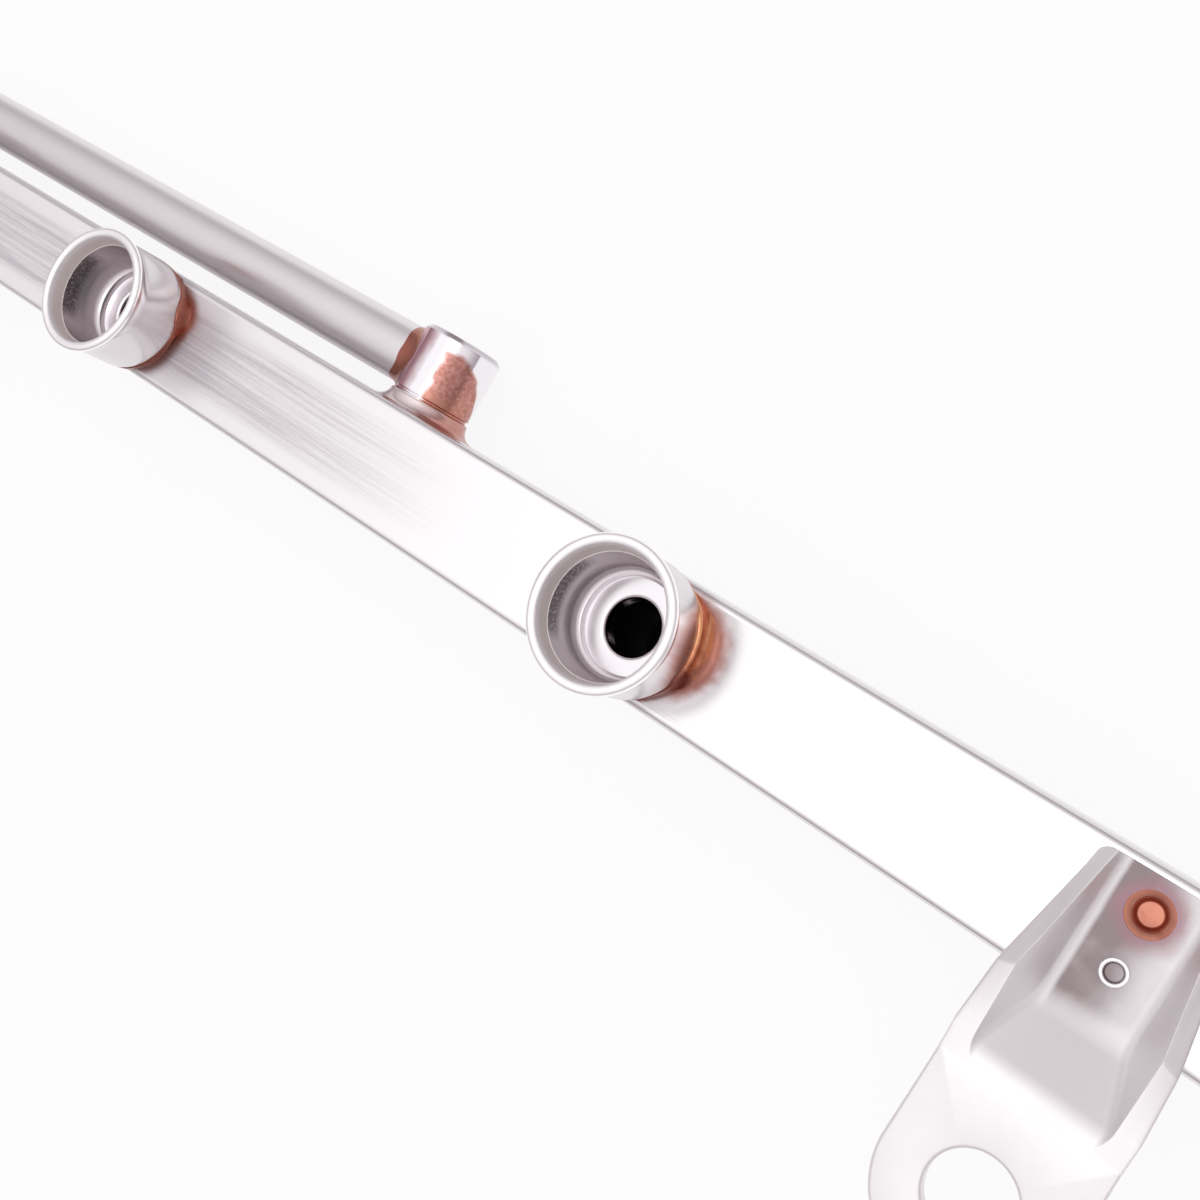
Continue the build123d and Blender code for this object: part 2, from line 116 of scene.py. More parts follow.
class CupSizes(PropertyGroup):
    """Sizes of the deep-drawn injector cups."""

    body: size("Body radius", 8.1, "Outside radius of the straight wall")
    bore: size("Bore radius", 7.0, "Radius that seals on the injector's O-ring")
    floor: size("Floor thickness", 1.2, "Thickness of the cup's floor")
    corner: size("Foot corner", 2.0, "Outside radius between the wall and the floor")
    lip_overhang: size("Lip overhang", 0.62, "How far the flared lip stands out past the body")
    lip_opening: size("Mouth opening", 0.44, "How much wider the mouth is than the bore")
    lip_tall: size("Lip height", 2.7, "Height of the flared lip")
    lead_in: size("Lead-in depth", 2.3, "Depth from the mouth to the start of the bore")
    ledge: size("Ledge", 0.08, "Width of the fine ledge where the lead-in meets the bore")
    seat_rise: size("Seat height", 2.6, "From the floor to the foot of the bore")
    seat_ring: size("Seat ring radius", 5.88, "Ring at the foot of the seat's slope")
    seat_step: size("Seat ring height", 0.9, "From the floor to that ring")
    floor_radius: size("Floor radius", 5.6, "Radius of the flat floor")
    hole: size("Fuel hole radius", 3.25, "Radius of the hole in the floor")
    hole_round: size("Fuel hole rounding", 0.6, "Rounding at the top of the hole")
    turns: steps_round(112, "Faces round each cup")


class BrazeSizes(PropertyGroup):
    """How far the copper flowed."""

    cup_reach: size(
        "Cup fillet reach", -0.3, "Reach of the copper on the rail, past the cup's wall"
    )
    cup_uneven: size("Cup fillet unevenness", 0.35, "How much that reach wanders")
    cup_tall: size("Cup fillet height", 2.15, "Height of the copper on the cup")
    bead: size("Bead", 0.32, "Size of the rounded upper edge of the copper")
    pool_1: pool("First cup's pool", (5.2, -0.8, 5.0))
    pool_2: pool("Second cup's pool", (5.7, 2.4, 4.3))
    pool_3: pool("Third cup's pool", (5.4, 1.0, 6.4))
    pool_4: pool("Fourth cup's pool", (5.0, 1.8, 5.4))
    film: size("Film", 1.8, "Width of the thin film of copper round a pool")
    boss_reach: size("Boss flare reach", 2.0, "Reach of the flare past the boss")
    boss_tall: size("Boss flare height", 1.85, "Height of the flare on the boss")
    pipe_along: size("Pipe collar length", 1.7, "Length of the copper along the pipe")
    pipe_out: size("Pipe collar height", 0.75, "Height of the copper on the boss")
    steps: steps_round(144, "Faces round each fillet")


class BracketSizes(PropertyGroup):
    """Sizes of the pressed brackets, from the rail's top face."""

    sheet: size("Sheet", 2.0, "Thickness of the sheet")
    web: size("Web", 6.7, "Flat width between the two bends")
    bend: size("Flange bend", 1.5, "Inside radius of the flanges' bends")
    lean: scalar(
        "Flange lean", radians(30), "How far the flanges lean out from upright", subtype="ANGLE"
    )
    start: size("Web start", 6.6, "End of the web on the boss's side")
    corner: size("Corner", 1.4, "Plan radius of the web's corners")
    edge_start: size("Edge start", 0.22, "Height of the flanges above the web at its end")
    slope: scalar("Edge slope", 0.262, "Rise of the flanges' edge towards the ear")
    rise_start: size("Rise start", 6.3, "Where the arm starts to rise, past the rail's middle")
    rise: scalar("Rise", radians(35), "Slope of the arm", subtype="ANGLE")
    widen: scalar(
        "Widening",
        0.85,
        "0 keeps the web's width as the arm rises, 1 keeps each flange in one plane",
    )
    rise_bend: size("Rise bend", 7.5, "Outside radius of the arm's lower bend")
    ear_bend: size("Ear bend", 2.5, "Inside radius of the arm's upper bend")
    ear_tall: size("Ear height", 5.0, "Height of the ear's underside")
    ear_reach: size("Ear reach", 9.48, "From the upper bend to the bolt's axis")
    ear: size("Ear radius", 9.0, "Radius of the ear's round end")
    bolt: size("Bolt hole", 4.2, "Radius of the bolt hole")
    feed: size("Feed hole", 2.25, "Radius of the hole that the braze is fed through")
    dent: size("Tack dent", 1.15, "Radius of the tack weld's dent")
    dent_deep: size("Tack dent depth", 0.45, "Depth of the tack weld's dent")
    dent_from_feed: size("Tack dent place", 6.1, "From the feed hole's axis to the dent's")
    round_over: size("Edge rounding", 0.4, "Rounding of the sheet's pressed edges")
    cut: scalar("Cut", 1.0, "0 for flanges cut level, 1 for flanges cut square to the sheet")


class FinishColours(PropertyGroup):
    """Colours of the bare metals and stains, and of painted shade and highlights."""

    tube: colour("Drawn tube", "#FBF9FA", "Bright drawn stainless tube")
    tube_scuff: colour("Tube scuffs", "#D2CDD0", "Greyer lengthwise scuffs on the tube")
    # Painted shade: grey drawn on the tube's rounded corners and along the boss's end edge.
    tube_corner: colour("Tube corners", "#9F979E", "Duller corners of the tube")
    # Painted shade: the cups' contact shadow and reflection on the tube round their feet.
    foot_haze: colour("Foot haze", "#A99C9F", "Grey haze on the tube round the cups' feet")
    cup: colour("Drawn cup", "#DFDADC", "Deep-drawn stainless cup")
    # Painted highlight: near white on the cup's lip and on the tack dent's rim.
    cup_rim: colour("Cup rim", "#FFFDFE", "Polished rim of the cup")
    lead_in: colour("Lead-in", "#F2EBE8", "Reamed lead-in below the rim")
    # Painted shade: grey on the bore wall inside the cup, mottled.
    cup_shade: colour("Cup haze", "#C9C0C3", "Greyer haze in the cup")
    # Painted shade: darker and mottled on the bore's -X side, near the top.
    cup_worn: colour("Cup wear", "#6F6467", "Dark mottled wear in the bore")
    cup_stain: colour("Cup stain", "#A58A86", "Brown stain on the cup above the copper")
    # Painted light: the cup's floor and seat drawn brighter than the bore.
    cup_floor: colour("Cup floor", "#F6F2F5", "Bright floor and seat of the cup")
    # Painted shade: dark inside the fuel holes of the cups and the tube.
    port: colour("Port", "#6B5C5E", "Darkened edge of the fuel hole")
    boss: colour("Turned boss", "#F4F0F3", "Turned stainless boss")
    boss_heat: colour("Heat tint", "#C48F9B", "Purple heat tint on the boss")
    boss_patch: colour("Boss patch", "#CB968D", "Copper that wetted the side of the boss")
    boss_patch_dark: colour("Boss patch, dark", "#AC7468", "Darker mottling of that copper")
    flare: colour("Flare", "#E6D8D8", "Thin silvery copper in the boss's flare")
    flare_copper: colour("Flare copper", "#BF887C", "Thicker copper in the boss's flare")
    pipe: colour("Pipe", "#E9E5E6", "Satin drawn pipe")
    sheet: colour("Pressed sheet", "#F0EDEE", "Matt pickled sheet")
    # Painted shade: grey on the bracket's web, deepest beside the inner flange.
    sheet_shade: colour("Sheet haze", "#918587", "Furnace haze on the sheet")
    sheet_heat: colour("Sheet heat tint", "#A27F88", "Purple tint beside the copper")
    copper: colour("Copper", "#A96B5B", "Braze copper")
    # Partly painted shade: blended in on the -Y side of the copper, and partly at random.
    copper_dark: colour("Dark copper", "#7E483D", "Copper dulled by the furnace")
    # Painted highlight: orange copper beside the third cup, on its +Y side.
    copper_bright: colour("Bright copper", "#DE8250", "Clean orange copper beside the cup")
    # Painted highlight along the rounded edge of the third cup's fillet.
    copper_bead: colour("Bead copper", "#F0B48C", "Clean copper along the fillet's rounded edge")
    # Pale copper: thin copper in the feed holes, and a painted highlight on the boss's patch.
    copper_pale: colour("Pale copper", "#C98A74", "Thin pale copper in the feed holes")
    copper_thin: colour("Thin copper", "#9A675C", "Copper thinning out at the edge of a pool")
    film: colour("Copper film", "#B27B6E", "Thin film of copper on the steel")
    table: colour("Table", "#FFFEFF", "Pale table")
    ceiling: colour("Ceiling", "#FFFEFF", "Light overhead")
    wall: colour("Wall", "#ECE8EA", "Room half way up")
    horizon: colour("Horizon", "#A79FA2", "Room at the height of the table")


class StageSizes(PropertyGroup):
    """Camera, lamps and table."""

    focal: scalar("Focal length", 40.4126, "Lens of the camera, in millimetres")
    eye: vector(
        "Eye",
        (0.1069424, 0.0098287, 0.1495874),
        "Where the camera stands",
        subtype="TRANSLATION",
        unit="LENGTH",
    )
    right: vector(
        "Camera right", (0.75579, 0.50633, -0.41521), "Direction of the camera's right-hand side"
    )
    back: vector(
        "Camera back",
        (0.44853, 0.06167, 0.89164),
        "Direction from what the camera looks at to the camera",
    )
    lamp: scalar("Softbox power", 0.25, "Power of the overhead softbox", unit="POWER")
    sky: scalar("Room light", 1.08, "Strength of the room round the table")
    glow: scalar("Table glow", 0.88, "Share of the table that shows as plain white")


def linear(hex_colour):
    """The linear RGBA of an sRGB hex value."""
    digits = hex_colour.lstrip("#")
    shares = [int(digits[i : i + 2], 16) / 255 for i in (0, 2, 4)]
    return (
        *(s / 12.92 if s <= 0.04045 else ((s + 0.055) / 1.055) ** 2.4 for s in shares),
        1.0,
    )


# ---- node building
def node(kind, inputs=None, tree=None, **settings):
    """Add a node, set its properties, and set or link its inputs. Returns its outputs.

    Without a tree, the node joins the tree of its first linked input.
    """
    inputs = inputs or {}
    linked = [key for key, value in inputs.items() if isinstance(value, bpy.types.NodeSocket)]
    if tree is None:
        tree = inputs[linked[0]].id_data
    made = tree.nodes.new(kind)
    for key, value in settings.items():
        setattr(made, key, value)
    for key, value in inputs.items():
        if key in linked:
            tree.links.new(value, made.inputs[key])
        else:
            made.inputs[key].default_value = value
    return made.outputs


def combine(operation, first, *others):
    """Chain a maths operation over the values, from the first on."""
    for other in others:
        first = node("ShaderNodeMath", {0: first, 1: other}, operation=operation)[0]
    return first


def times(*factors):
    return combine("MULTIPLY", *factors)


def plus(*terms):
    return combine("ADD", *terms)


def unsigned(value):
    return combine("ABSOLUTE", value, 0.0)


def ramp(value, low, high, to_low=0.0, to_high=1.0):
    """A smooth step of value from low to high."""
    ends = {"From Min": low, "From Max": high, "To Min": to_low, "To Max": to_high}
    inputs = {"Value": value, **ends}
    return node("ShaderNodeMapRange", inputs, interpolation_type="SMOOTHSTEP")["Result"]


def step(value, low_mm, high_mm, origin=0.0):
    """A smooth step of a distance between two places, in millimetres from an origin."""
    return ramp(value, origin + low_mm * MM, origin + high_mm * MM)


def spread(value, slope, offset):
    """A straight-line change of a value."""
    inputs = {0: value, 1: slope, 2: offset}
    return node("ShaderNodeMath", inputs, operation="MULTIPLY_ADD")[0]


def sway(value, reach_mm):
    """Noise from 0 to 1 as a distance of up to reach_mm either way."""
    return spread(value, 2 * reach_mm * MM, -reach_mm * MM)


def coats(tone, *layers):
    """A colour under layers of (factor, colour), the last on top; hex values or sockets."""
    for factor, over in layers:
        a, b = (linear(c) if isinstance(c, str) else c for c in (tone, over))
        tone = node("ShaderNodeMix", {"Factor": factor, 6: a, 7: b}, data_type="RGBA")[2]
    return tone


def grain(place, stretch_mm, detail=2.0, roughness=0.5):
    """Noise whose cells measure stretch_mm along X, Y and Z."""
    scale = [1 / (mm * MM) for mm in stretch_mm]
    scaled = node("ShaderNodeMapping", {"Vector": place, "Scale": scale})[0]
    inputs = {"Vector": scaled, "Scale": 1.0, "Detail": detail, "Roughness": roughness}
    return node("ShaderNodeTexNoise", inputs)["Fac"]


def length(x, y):
    """How far X and Y are from zero."""
    flat = node("ShaderNodeCombineXYZ", {"X": x, "Y": y})[0]
    return node("ShaderNodeVectorMath", {0: flat}, operation="LENGTH")["Value"]


def away_from(place, x, y):
    """Distance from an upright axis through (x, y)."""
    moved = node("ShaderNodeVectorMath", {0: place, 1: (x, y, 0.0)}, operation="SUBTRACT")[0]
    level = {0: moved, 1: (1.0, 1.0, 0.0)}
    flat = node("ShaderNodeVectorMath", level, operation="MULTIPLY")[0]
    return node("ShaderNodeVectorMath", {0: flat}, operation="LENGTH")["Value"]


def about_cup(place):
    """X and Y from the nearest cup's axis, and the distance from it."""
    x, y = node("ShaderNodeSeparateXYZ", {0: place})[:2]
    half = (CUP_X[1] - CUP_X[0]) / 2
    from_first = combine("SUBTRACT", x, CUP_X[0])
    x = node("ShaderNodeMath", {0: from_first, 1: half, 2: -half}, operation="WRAP")[0]
    return x, y, length(x, y)


def from_bracket(x):
    """X from the middle of the nearer bracket, outwards along the rail."""
    return combine("SUBTRACT", unsigned(x), BRACKET_X)


def pool_places(sizes):
    """X, Y and radius of each cup's pool of copper."""
    found = (sizes.pool_1, sizes.pool_2, sizes.pool_3, sizes.pool_4)
    return [(x + spot[0], spot[1], spot[2]) for x, spot in zip(CUP_X, found)]


def past_pools(place, pools):
    """Distance outside the nearest pool's edge, less than nothing inside it."""
    past = (combine("SUBTRACT", away_from(place, x, y), radius) for x, y, radius in pools)
    return combine("MINIMUM", *past)


def emptied(owner):
    """The node tree of a material or a world, with nothing in it."""
    owner.use_nodes = True
    owner.node_tree.nodes.clear()
    return owner.node_tree


def metal(name, surface, *given):
    """A metal of the colour, roughness, bump height and bump strength that surface returns."""
    tree = emptied(bpy.data.materials.new(name))
    place = node("ShaderNodeTexCoord", tree=tree)["Object"]
    tone, rough, height, strength = surface(place, *given)
    relief = {"Height": height, "Strength": strength, "Distance": 0.1 * MM}
    normal = node("ShaderNodeBump", relief)[0]
    inputs = {"Metallic": 1.0, "Base Color": tone, "Roughness": rough, "Normal": normal}
    shader = node("ShaderNodeBsdfPrincipled", inputs)[0]
    node("ShaderNodeOutputMaterial", {"Surface": shader})


# ---- materials
def drawn_tube(place, colours, pools):
    """Drawn stainless: long draw lines, greyer scuffs, a film of copper round the pools, and
    painted shade on the corners, round the cups' feet and in the ports.
    """
    lines = grain(place, (60, 0.35, 0.35), 3.0, 0.6)
    streaks = grain(place, (26, 0.5, 0.5), 4.0, 0.6)
    speckle = grain(place, (0.9, 0.25, 0.25))
    cloud = grain(place, [1.6] * 3, 4.0)
    x, y, z = node("ShaderNodeSeparateXYZ", {0: place})
    across = about_cup(place)[2]
    top = step(z, -1.2, -0.3, RAIL_TOP)
    off_middle = unsigned(y)
    worn = times(step(off_middle, 5.6, 3.4), step(x, 22, -20))
    rubbed = spread(speckle, 0.6, -0.3)
    both = {0: ramp(streaks, 0.36, 0.68), 1: rubbed}
    scuff = node("ShaderNodeMath", both, operation="ADD", use_clamp=True)[0]
    scuff = times(spread(scuff, 0.7, 0.3), worn)
    outside = times(step(across, 7.2, 7.6), top)
    past = plus(past_pools(place, pools), sway(cloud, 0.8))
    tone = coats(
        colours.tube,
        (scuff, colours.tube_scuff),
        # Painted shade on the tube's rounded corners.
        (times(step(off_middle, 6.8, 7.1), 0.35), colours.tube_corner),
        # Painted shade round each cup's foot, for its contact shadow and reflection.
        (times(step(across, 10.2, 8.2), outside, 0.45), colours.foot_haze),
        (times(step(past, 0.3, -1.8), outside), colours.film),
        # Painted shade in and round the tube's port under each cup.
        (times(step(across, 5.0, 4.4), step(z, 0.5, 1.5)), colours.port),
    )
    matt = times(step(x, 20, -25), top)
    rough = plus(spread(scuff, 0.06, 0.2), times(matt, 0.16))
    return tone, rough, lines, 0.1


def drawn_cup(place, colours, pools):
    """Deep-drawn stainless, stained outside by the copper, with a painted highlight on the rim,
    painted shade on the mottled bore and darker on its -X side, a painted lit floor and painted
    shade in the fuel hole.
    """
    rings = grain(place, (30, 30, 0.16), 3.0, 0.65)
    cloud = grain(place, (3, 3, 6), 3.0)
    spots = grain(place, [0.3] * 3, 3.0)
    z = node("ShaderNodeSeparateXYZ", {0: place})["Z"]
    x, y, across = about_cup(place)
    mouth = RAIL_TOP + CUP_SIZE.z
    inside = step(across, 7.52, 7.42)
    # Painted shade on the bore wall, darker and mottled high up on the -X side, away from the
    # pools.
    bore = times(inside, step(z, 1.4, 3.4, RAIL_TOP))
    away = plus(spread(x, -0.996, 0.0), spread(y, -0.09, 0.0))
    high = step(z, 4.6, 6.2, RAIL_TOP)
    worn = times(bore, step(away, 4.8, 6.2), high, ramp(spots, 0.2, 0.55), 0.9)
    near_mouth = step(z, -2.4, -2.2, mouth)
    outer = times(step(across, 7.9, 7.8), near_mouth)
    lead_in = combine("MAXIMUM", times(inside, near_mouth), outer)
    low = step(z, 6.6, 2.0, RAIL_TOP)
    by_pool = step(past_pools(place, pools), 0.5, -2.5)
    stain = times(step(across, 7.55, 7.65), low, by_pool, ramp(cloud, 0.3, 0.6), 0.45)
    # Painted shade on the lower wall of the cup's fuel hole.
    hole = times(step(across, 3.6, 3.45), step(z, 1.1, 0.9, RAIL_TOP))
    tone = coats(
        colours.cup,
        # Painted shade on the bore wall, then darker on its -X side.
        (times(bore, spread(spots, 0.6, 0.4)), colours.cup_shade),
        (worn, colours.cup_worn),
        (lead_in, colours.lead_in),
        # Painted highlight on the top of the lip.
        (step(z, -1.15, -0.6, mouth), colours.cup_rim),
        (stain, colours.cup_stain),
        # Painted light on the cup's floor and seat.
        (times(inside, step(z, 2.6, 1.6, RAIL_TOP)), colours.cup_floor),
        (hole, colours.port),
    )
    dull = (times(bore, 0.16), times(lead_in, 0.3))
    rough = plus(spread(cloud, 0.1, 0.16), *dull)
    return tone, rough, rings, 0.05


def turned_boss(place, colours):
    """Turned stainless, bright, with purple heat tint, a mottled copper patch with a painted
    highlight, and painted shade by the end face.
    """
    rings = grain(place, (20, 0.14, 20))
    spots = grain(place, [0.5] * 3, 3.0, 0.6)
    x, y, z = node("ShaderNodeSeparateXYZ", {0: place})
    uneven = sway(grain(place, [2.2] * 3, 1.0), 0.8)
    past = plus(x, uneven)
    # The copper ran up the side away from the pipe, less far lower down.
    drop = combine("MAXIMUM", combine("SUBTRACT", BOSS_HIGH.z - 1.0 * MM, z), 0.0)
    top = spread(times(drop, drop), -0.16 / MM, BOSS_HIGH.y - 1.9 * MM)
    below = combine("SUBTRACT", top, plus(y, uneven))
    patch = times(step(past, 1.5, 2.4), step(below, -0.4, 0.5))
    # The tint fades towards the pipe and stops short of the end face.
    fade = times(step(past, -6.2, -4.6), step(y, -0.2, -0.9, BOSS_HIGH.y))
    low = step(y, 6.0, 3.8, BOSS_LOW.y)
    # Painted highlight: paler copper on the upper side of the patch, near the boss's foot.
    glow = times(low, step(z, -1.0, 1.5, RAIL_MIDDLE), 0.5)
    rust = coats(
        colours.boss_patch_dark,
        (ramp(spots, 0.3, 0.7), colours.boss_patch),
        (glow, colours.copper_pale),
    )
    tone = coats(
        colours.boss,
        (times(step(past, 0.2, -1.8), fade, 0.9), colours.boss_heat),
        # Painted shade along the boss's edge by its end face.
        (times(step(y, -0.9, -0.3, BOSS_HIGH.y), 0.6), colours.tube_corner),
        (patch, rust),
    )
    return tone, spread(patch, 0.2, 0.1), rings, 0.08


def drawn_pipe(place, colours):
    """Satin stainless pipe with long fine draw lines."""
    lines = grain(place, (50, 0.3, 0.3), 3.0, 0.6)
    cloud = grain(place, (12, 3, 3), 3.0)
    return linear(colours.pipe), spread(cloud, 0.1, 0.3), lines, 0.12


def pickled_sheet(place, colours, dent_from_feed):
    """Pickled sheet: matt, with painted shade on the web, purple beside the copper, and a painted
    highlight on the tack dent's rim.
    """
    pits = grain(place, [0.2] * 3, 3.0, 0.7)
    cloud = grain(place, [3] * 3, 4.0)
    x, y, z = node("ShaderNodeSeparateXYZ", {0: place})
    x = from_bracket(x)
    # Painted shade on the web, mottled, deepest beside the flange towards the rail's middle.
    on_web = times(step(unsigned(x), 4.0, 3.3), step(y, -9.5, -6.0))
    haze = times(on_web, ramp(x, 3.2 * MM, -1.6 * MM, 0.35, 1.0), spread(cloud, 0.5, 0.75))
    feed = length(x, combine("SUBTRACT", y, BRACKET_FEED_Y))
    near = plus(feed, sway(cloud, 1.0))
    spot = length(x, combine("SUBTRACT", y, BRACKET_FEED_Y - dent_from_feed))
    # Painted highlight on the rim round the tack dent.
    rim = times(step(spot, 1.6, 1.45), step(z, 2.0, 2.04, RAIL_TOP))
    tone = coats(
        colours.sheet,
        (haze, colours.sheet_shade),
        (times(step(near, 4.2, 2.4), 0.85), colours.sheet_heat),
        (rim, colours.cup_rim),
    )
    return tone, spread(cloud, 0.12, 0.42), pits, 0.06


def braze_copper(place, colours, pools):
    """Furnace copper: red brown, painted darker on the -Y side, a painted orange highlight beside
    the third cup and along its bead, paler in the feed holes.
    """
    ripple = grain(place, [1.0] * 3)
    cloud = grain(place, [2.6] * 3, 3.0)
    y, across = about_cup(place)[1:]
    # Painted shade in part: the copper darkens towards -Y, mixed with random tone.
    warm = plus(spread(y, 0.075 / MM, 0.0), cloud)
    # Painted orange highlight on the +Y side beside the cup, at the third cup only.
    third = step(away_from(place, CUP_X[2], 0.0), 30, 20)
    clean = times(step(across, 11.4, 9.6), ramp(warm, 0.4, 0.75), third)
    # A pool thins out to the colour of its film.
    edge = step(past_pools(place, pools), -3.6, -1.9)
    thin = times(edge, step(across, 14.0, 12.5), step(across, 8.6, 9.4))
    in_hole = unsigned(from_bracket(node("ShaderNodeSeparateXYZ", {0: place})["X"]))
    pale = times(step(in_hole, 4.0, 3.0), ramp(cloud, 0.35, 0.65), 0.6)
    tone = coats(
        colours.copper_dark,
        (ramp(warm, 0.1, 0.75), colours.copper),
        (clean, colours.copper_bright),
        (thin, colours.copper_thin),
        # Painted highlight along the fillet's bead.
        (times(clean, step(across, 9.1, 8.6), 0.7), colours.copper_bead),
        (pale, colours.copper_pale),
    )
    return tone, spread(ripple, 0.2, 0.16), ripple, 0.12


def flare_copper(place, colours):
    """Copper drawn thin over the steel: silvery pink, redder on the side away from the pipe."""
    ripple = grain(place, [0.9] * 3)
    cloud = grain(place, [2.0] * 3, 3.0)
    red = plus(node("ShaderNodeSeparateXYZ", {0: place})["X"], sway(cloud, 1.5))
    tone = coats(colours.flare, (step(red, 1.5, 6.0), colours.flare_copper))
    return tone, spread(ripple, 0.12, 0.2), ripple, 0.12


# ---- mesh building
def placed(name, data):
    """A new object in the scene."""
    made = bpy.data.objects.new(name, data)
    bpy.context.scene.collection.objects.link(made)
    return made


def finish_piece(mesh, name, material, nodes, sharp):
    """Shade a mesh, with edges sharp from an angle in degrees, and let it stand for CAD nodes."""
    mesh.materials.clear()
    mesh.materials.append(bpy.data.materials[material])
    mesh.shade_smooth()
    mesh.set_sharp_from_angle(angle=radians(sharp))
    piece = placed(name, mesh)
    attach(piece, BODY)
    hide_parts(*nodes)


def dress(material, *nodes):
    """Give the CAD nodes that stay their finished material."""
    for name in nodes:
        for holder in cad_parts[name].material_slots:
            holder.link = "OBJECT"
            holder.material = bpy.data.materials[material]


def outward(mesh, weld=0.0):
    """Join points nearer than weld and turn a closed mesh's faces outwards."""
    shape = bmesh.new()
    shape.from_mesh(mesh)
    if weld:
        bmesh.ops.remove_doubles(shape, verts=shape.verts, dist=weld)
    bmesh.ops.recalc_face_normals(shape, faces=shape.faces)
    if shape.calc_volume(signed=True) < 0:
        bmesh.ops.reverse_faces(shape, faces=shape.faces)
    shape.to_mesh(mesh)
    shape.free()
    return mesh


def mesh_from(name, points, faces):
    mesh = bpy.data.meshes.new(name)
    mesh.from_pydata(points, [], faces)
    return outward(mesh, weld=WELD)


def arc(centre, radius, start, end, steps):
    """Points along an arc in a section; angles in degrees from the first axis."""
    angles = [radians(start + (end - start) * i / steps) for i in range(steps + 1)]
    return [(centre[0] + radius * cos(a), centre[1] + radius * sin(a)) for a in angles]


def bowl(a, control, b, steps):
    """Points along a curve from a to b, drawn towards control."""
    made = []
    for i in range(steps + 1):
        t = i / steps
        shares = ((1 - t) ** 2, 2 * t * (1 - t), t**2)
        made.append(tuple(sum(s * p[k] for s, p in zip(shares, (a, control, b))) for k in (0, 1)))
    return made


def ring_mesh(name, section_at, steps, place):
    """A closed ring whose section of (radius, height) points changes with the angle."""
    points, faces = [], []
    for turn in range(steps):
        angle = 2 * pi * turn / steps
        section = section_at(angle)
        for radius, height in section:
            points.append(place @ Vector((radius * cos(angle), radius * sin(angle), height)))
    count = len(section)
    for turn in range(steps):
        here, after = turn * count, (turn + 1) % steps * count
        for i in range(count):
            j = (i + 1) % count
            # An edge that lies on the axis sweeps no face.
            if section[i][0] or section[j][0]:
                faces.append((here + i, after + i, after + j, here + j))
    return mesh_from(name, points, faces)


def turned_mesh(name, outline, steps, place):
    """A closed mesh turned from one closed outline of (radius, height) points."""
    return ring_mesh(name, lambda angle: outline, steps, place)


def applied(host):
    """The plain mesh that host's modifiers make; host is removed."""
    bpy.context.view_layer.update()
    graph = bpy.context.evaluated_depsgraph_get()
    mesh = bpy.data.meshes.new_from_object(host.evaluated_get(graph))
    host.modifiers.clear()
    bpy.data.objects.remove(host)
    return mesh


def carved(mesh, *cutters):
    """A mesh with closed cutter meshes taken out of it."""
    host = placed("carved", mesh)
    tools = [placed("cutter", cutter) for cutter in cutters]
    for tool in tools:
        modifier = host.modifiers.new("cut", "BOOLEAN")
        modifier.operation = "DIFFERENCE"
        modifier.solver = "EXACT"
        modifier.object = tool
    made = applied(host)
    for tool in tools:
        bpy.data.objects.remove(tool)
    return made


def joined(*meshes):
    """Closed shells side by side in one mesh."""
    shape = bmesh.new()
    for mesh in meshes:
        shape.from_mesh(mesh)
    made = bpy.data.meshes.new("joined")
    shape.to_mesh(made)
    shape.free()
    return made


# ---- the cups
def cup_outline(sizes):
    """The cup's section as (radius, height above the rail)."""
    tall = CUP_SIZE.z
    lip_r = sizes.body + sizes.lip_overhang
    mouth_r = sizes.bore + sizes.lip_opening
    mouth_z = tall - sizes.lip_opening
    flare_low = tall - sizes.lip_tall
    flare_high = tall - sizes.lip_overhang
    bore_foot = sizes.floor + sizes.seat_rise
    seat_z = sizes.floor + sizes.seat_step
    soft = sizes.hole_round
    points = [(sizes.hole, 0.0)]
    points += arc((sizes.body - sizes.corner, sizes.corner), sizes.corner, -90, 0, 10)
    for i in range(11):
        share = i / 10
        out = sizes.body + sizes.lip_overhang * share**2.2
        points.append((out, flare_low + (flare_high - flare_low) * share))
    for i in range(1, 12):
        angle = pi * i / 12
        foot = flare_high if angle < pi / 2 else mouth_z
        out = (lip_r + mouth_r) / 2 + (lip_r - mouth_r) / 2 * cos(angle)
        points.append((out, foot + (tall - foot) * sin(angle)))
    return points + [
        (mouth_r, mouth_z),
        (sizes.bore + sizes.ledge, tall - sizes.lead_in + 0.04 * MM),
        (sizes.bore, tall - sizes.lead_in),
        (sizes.bore, bore_foot + 0.5 * MM),
        *bowl(
            (sizes.bore - 0.06 * MM, bore_foot + 0.1 * MM),
            (sizes.bore - 0.35 * MM, seat_z + 0.35 * MM),
            (sizes.seat_ring + 0.1 * MM, seat_z + 0.04 * MM),
            8,
        ),
        (sizes.seat_ring, seat_z),
        (sizes.floor_radius + 0.1 * MM, sizes.floor + 0.12 * MM),
        (sizes.floor_radius - 0.1 * MM, sizes.floor),
        *arc((sizes.hole + soft, sizes.floor - soft), soft, 90, 180, 6),
    ]


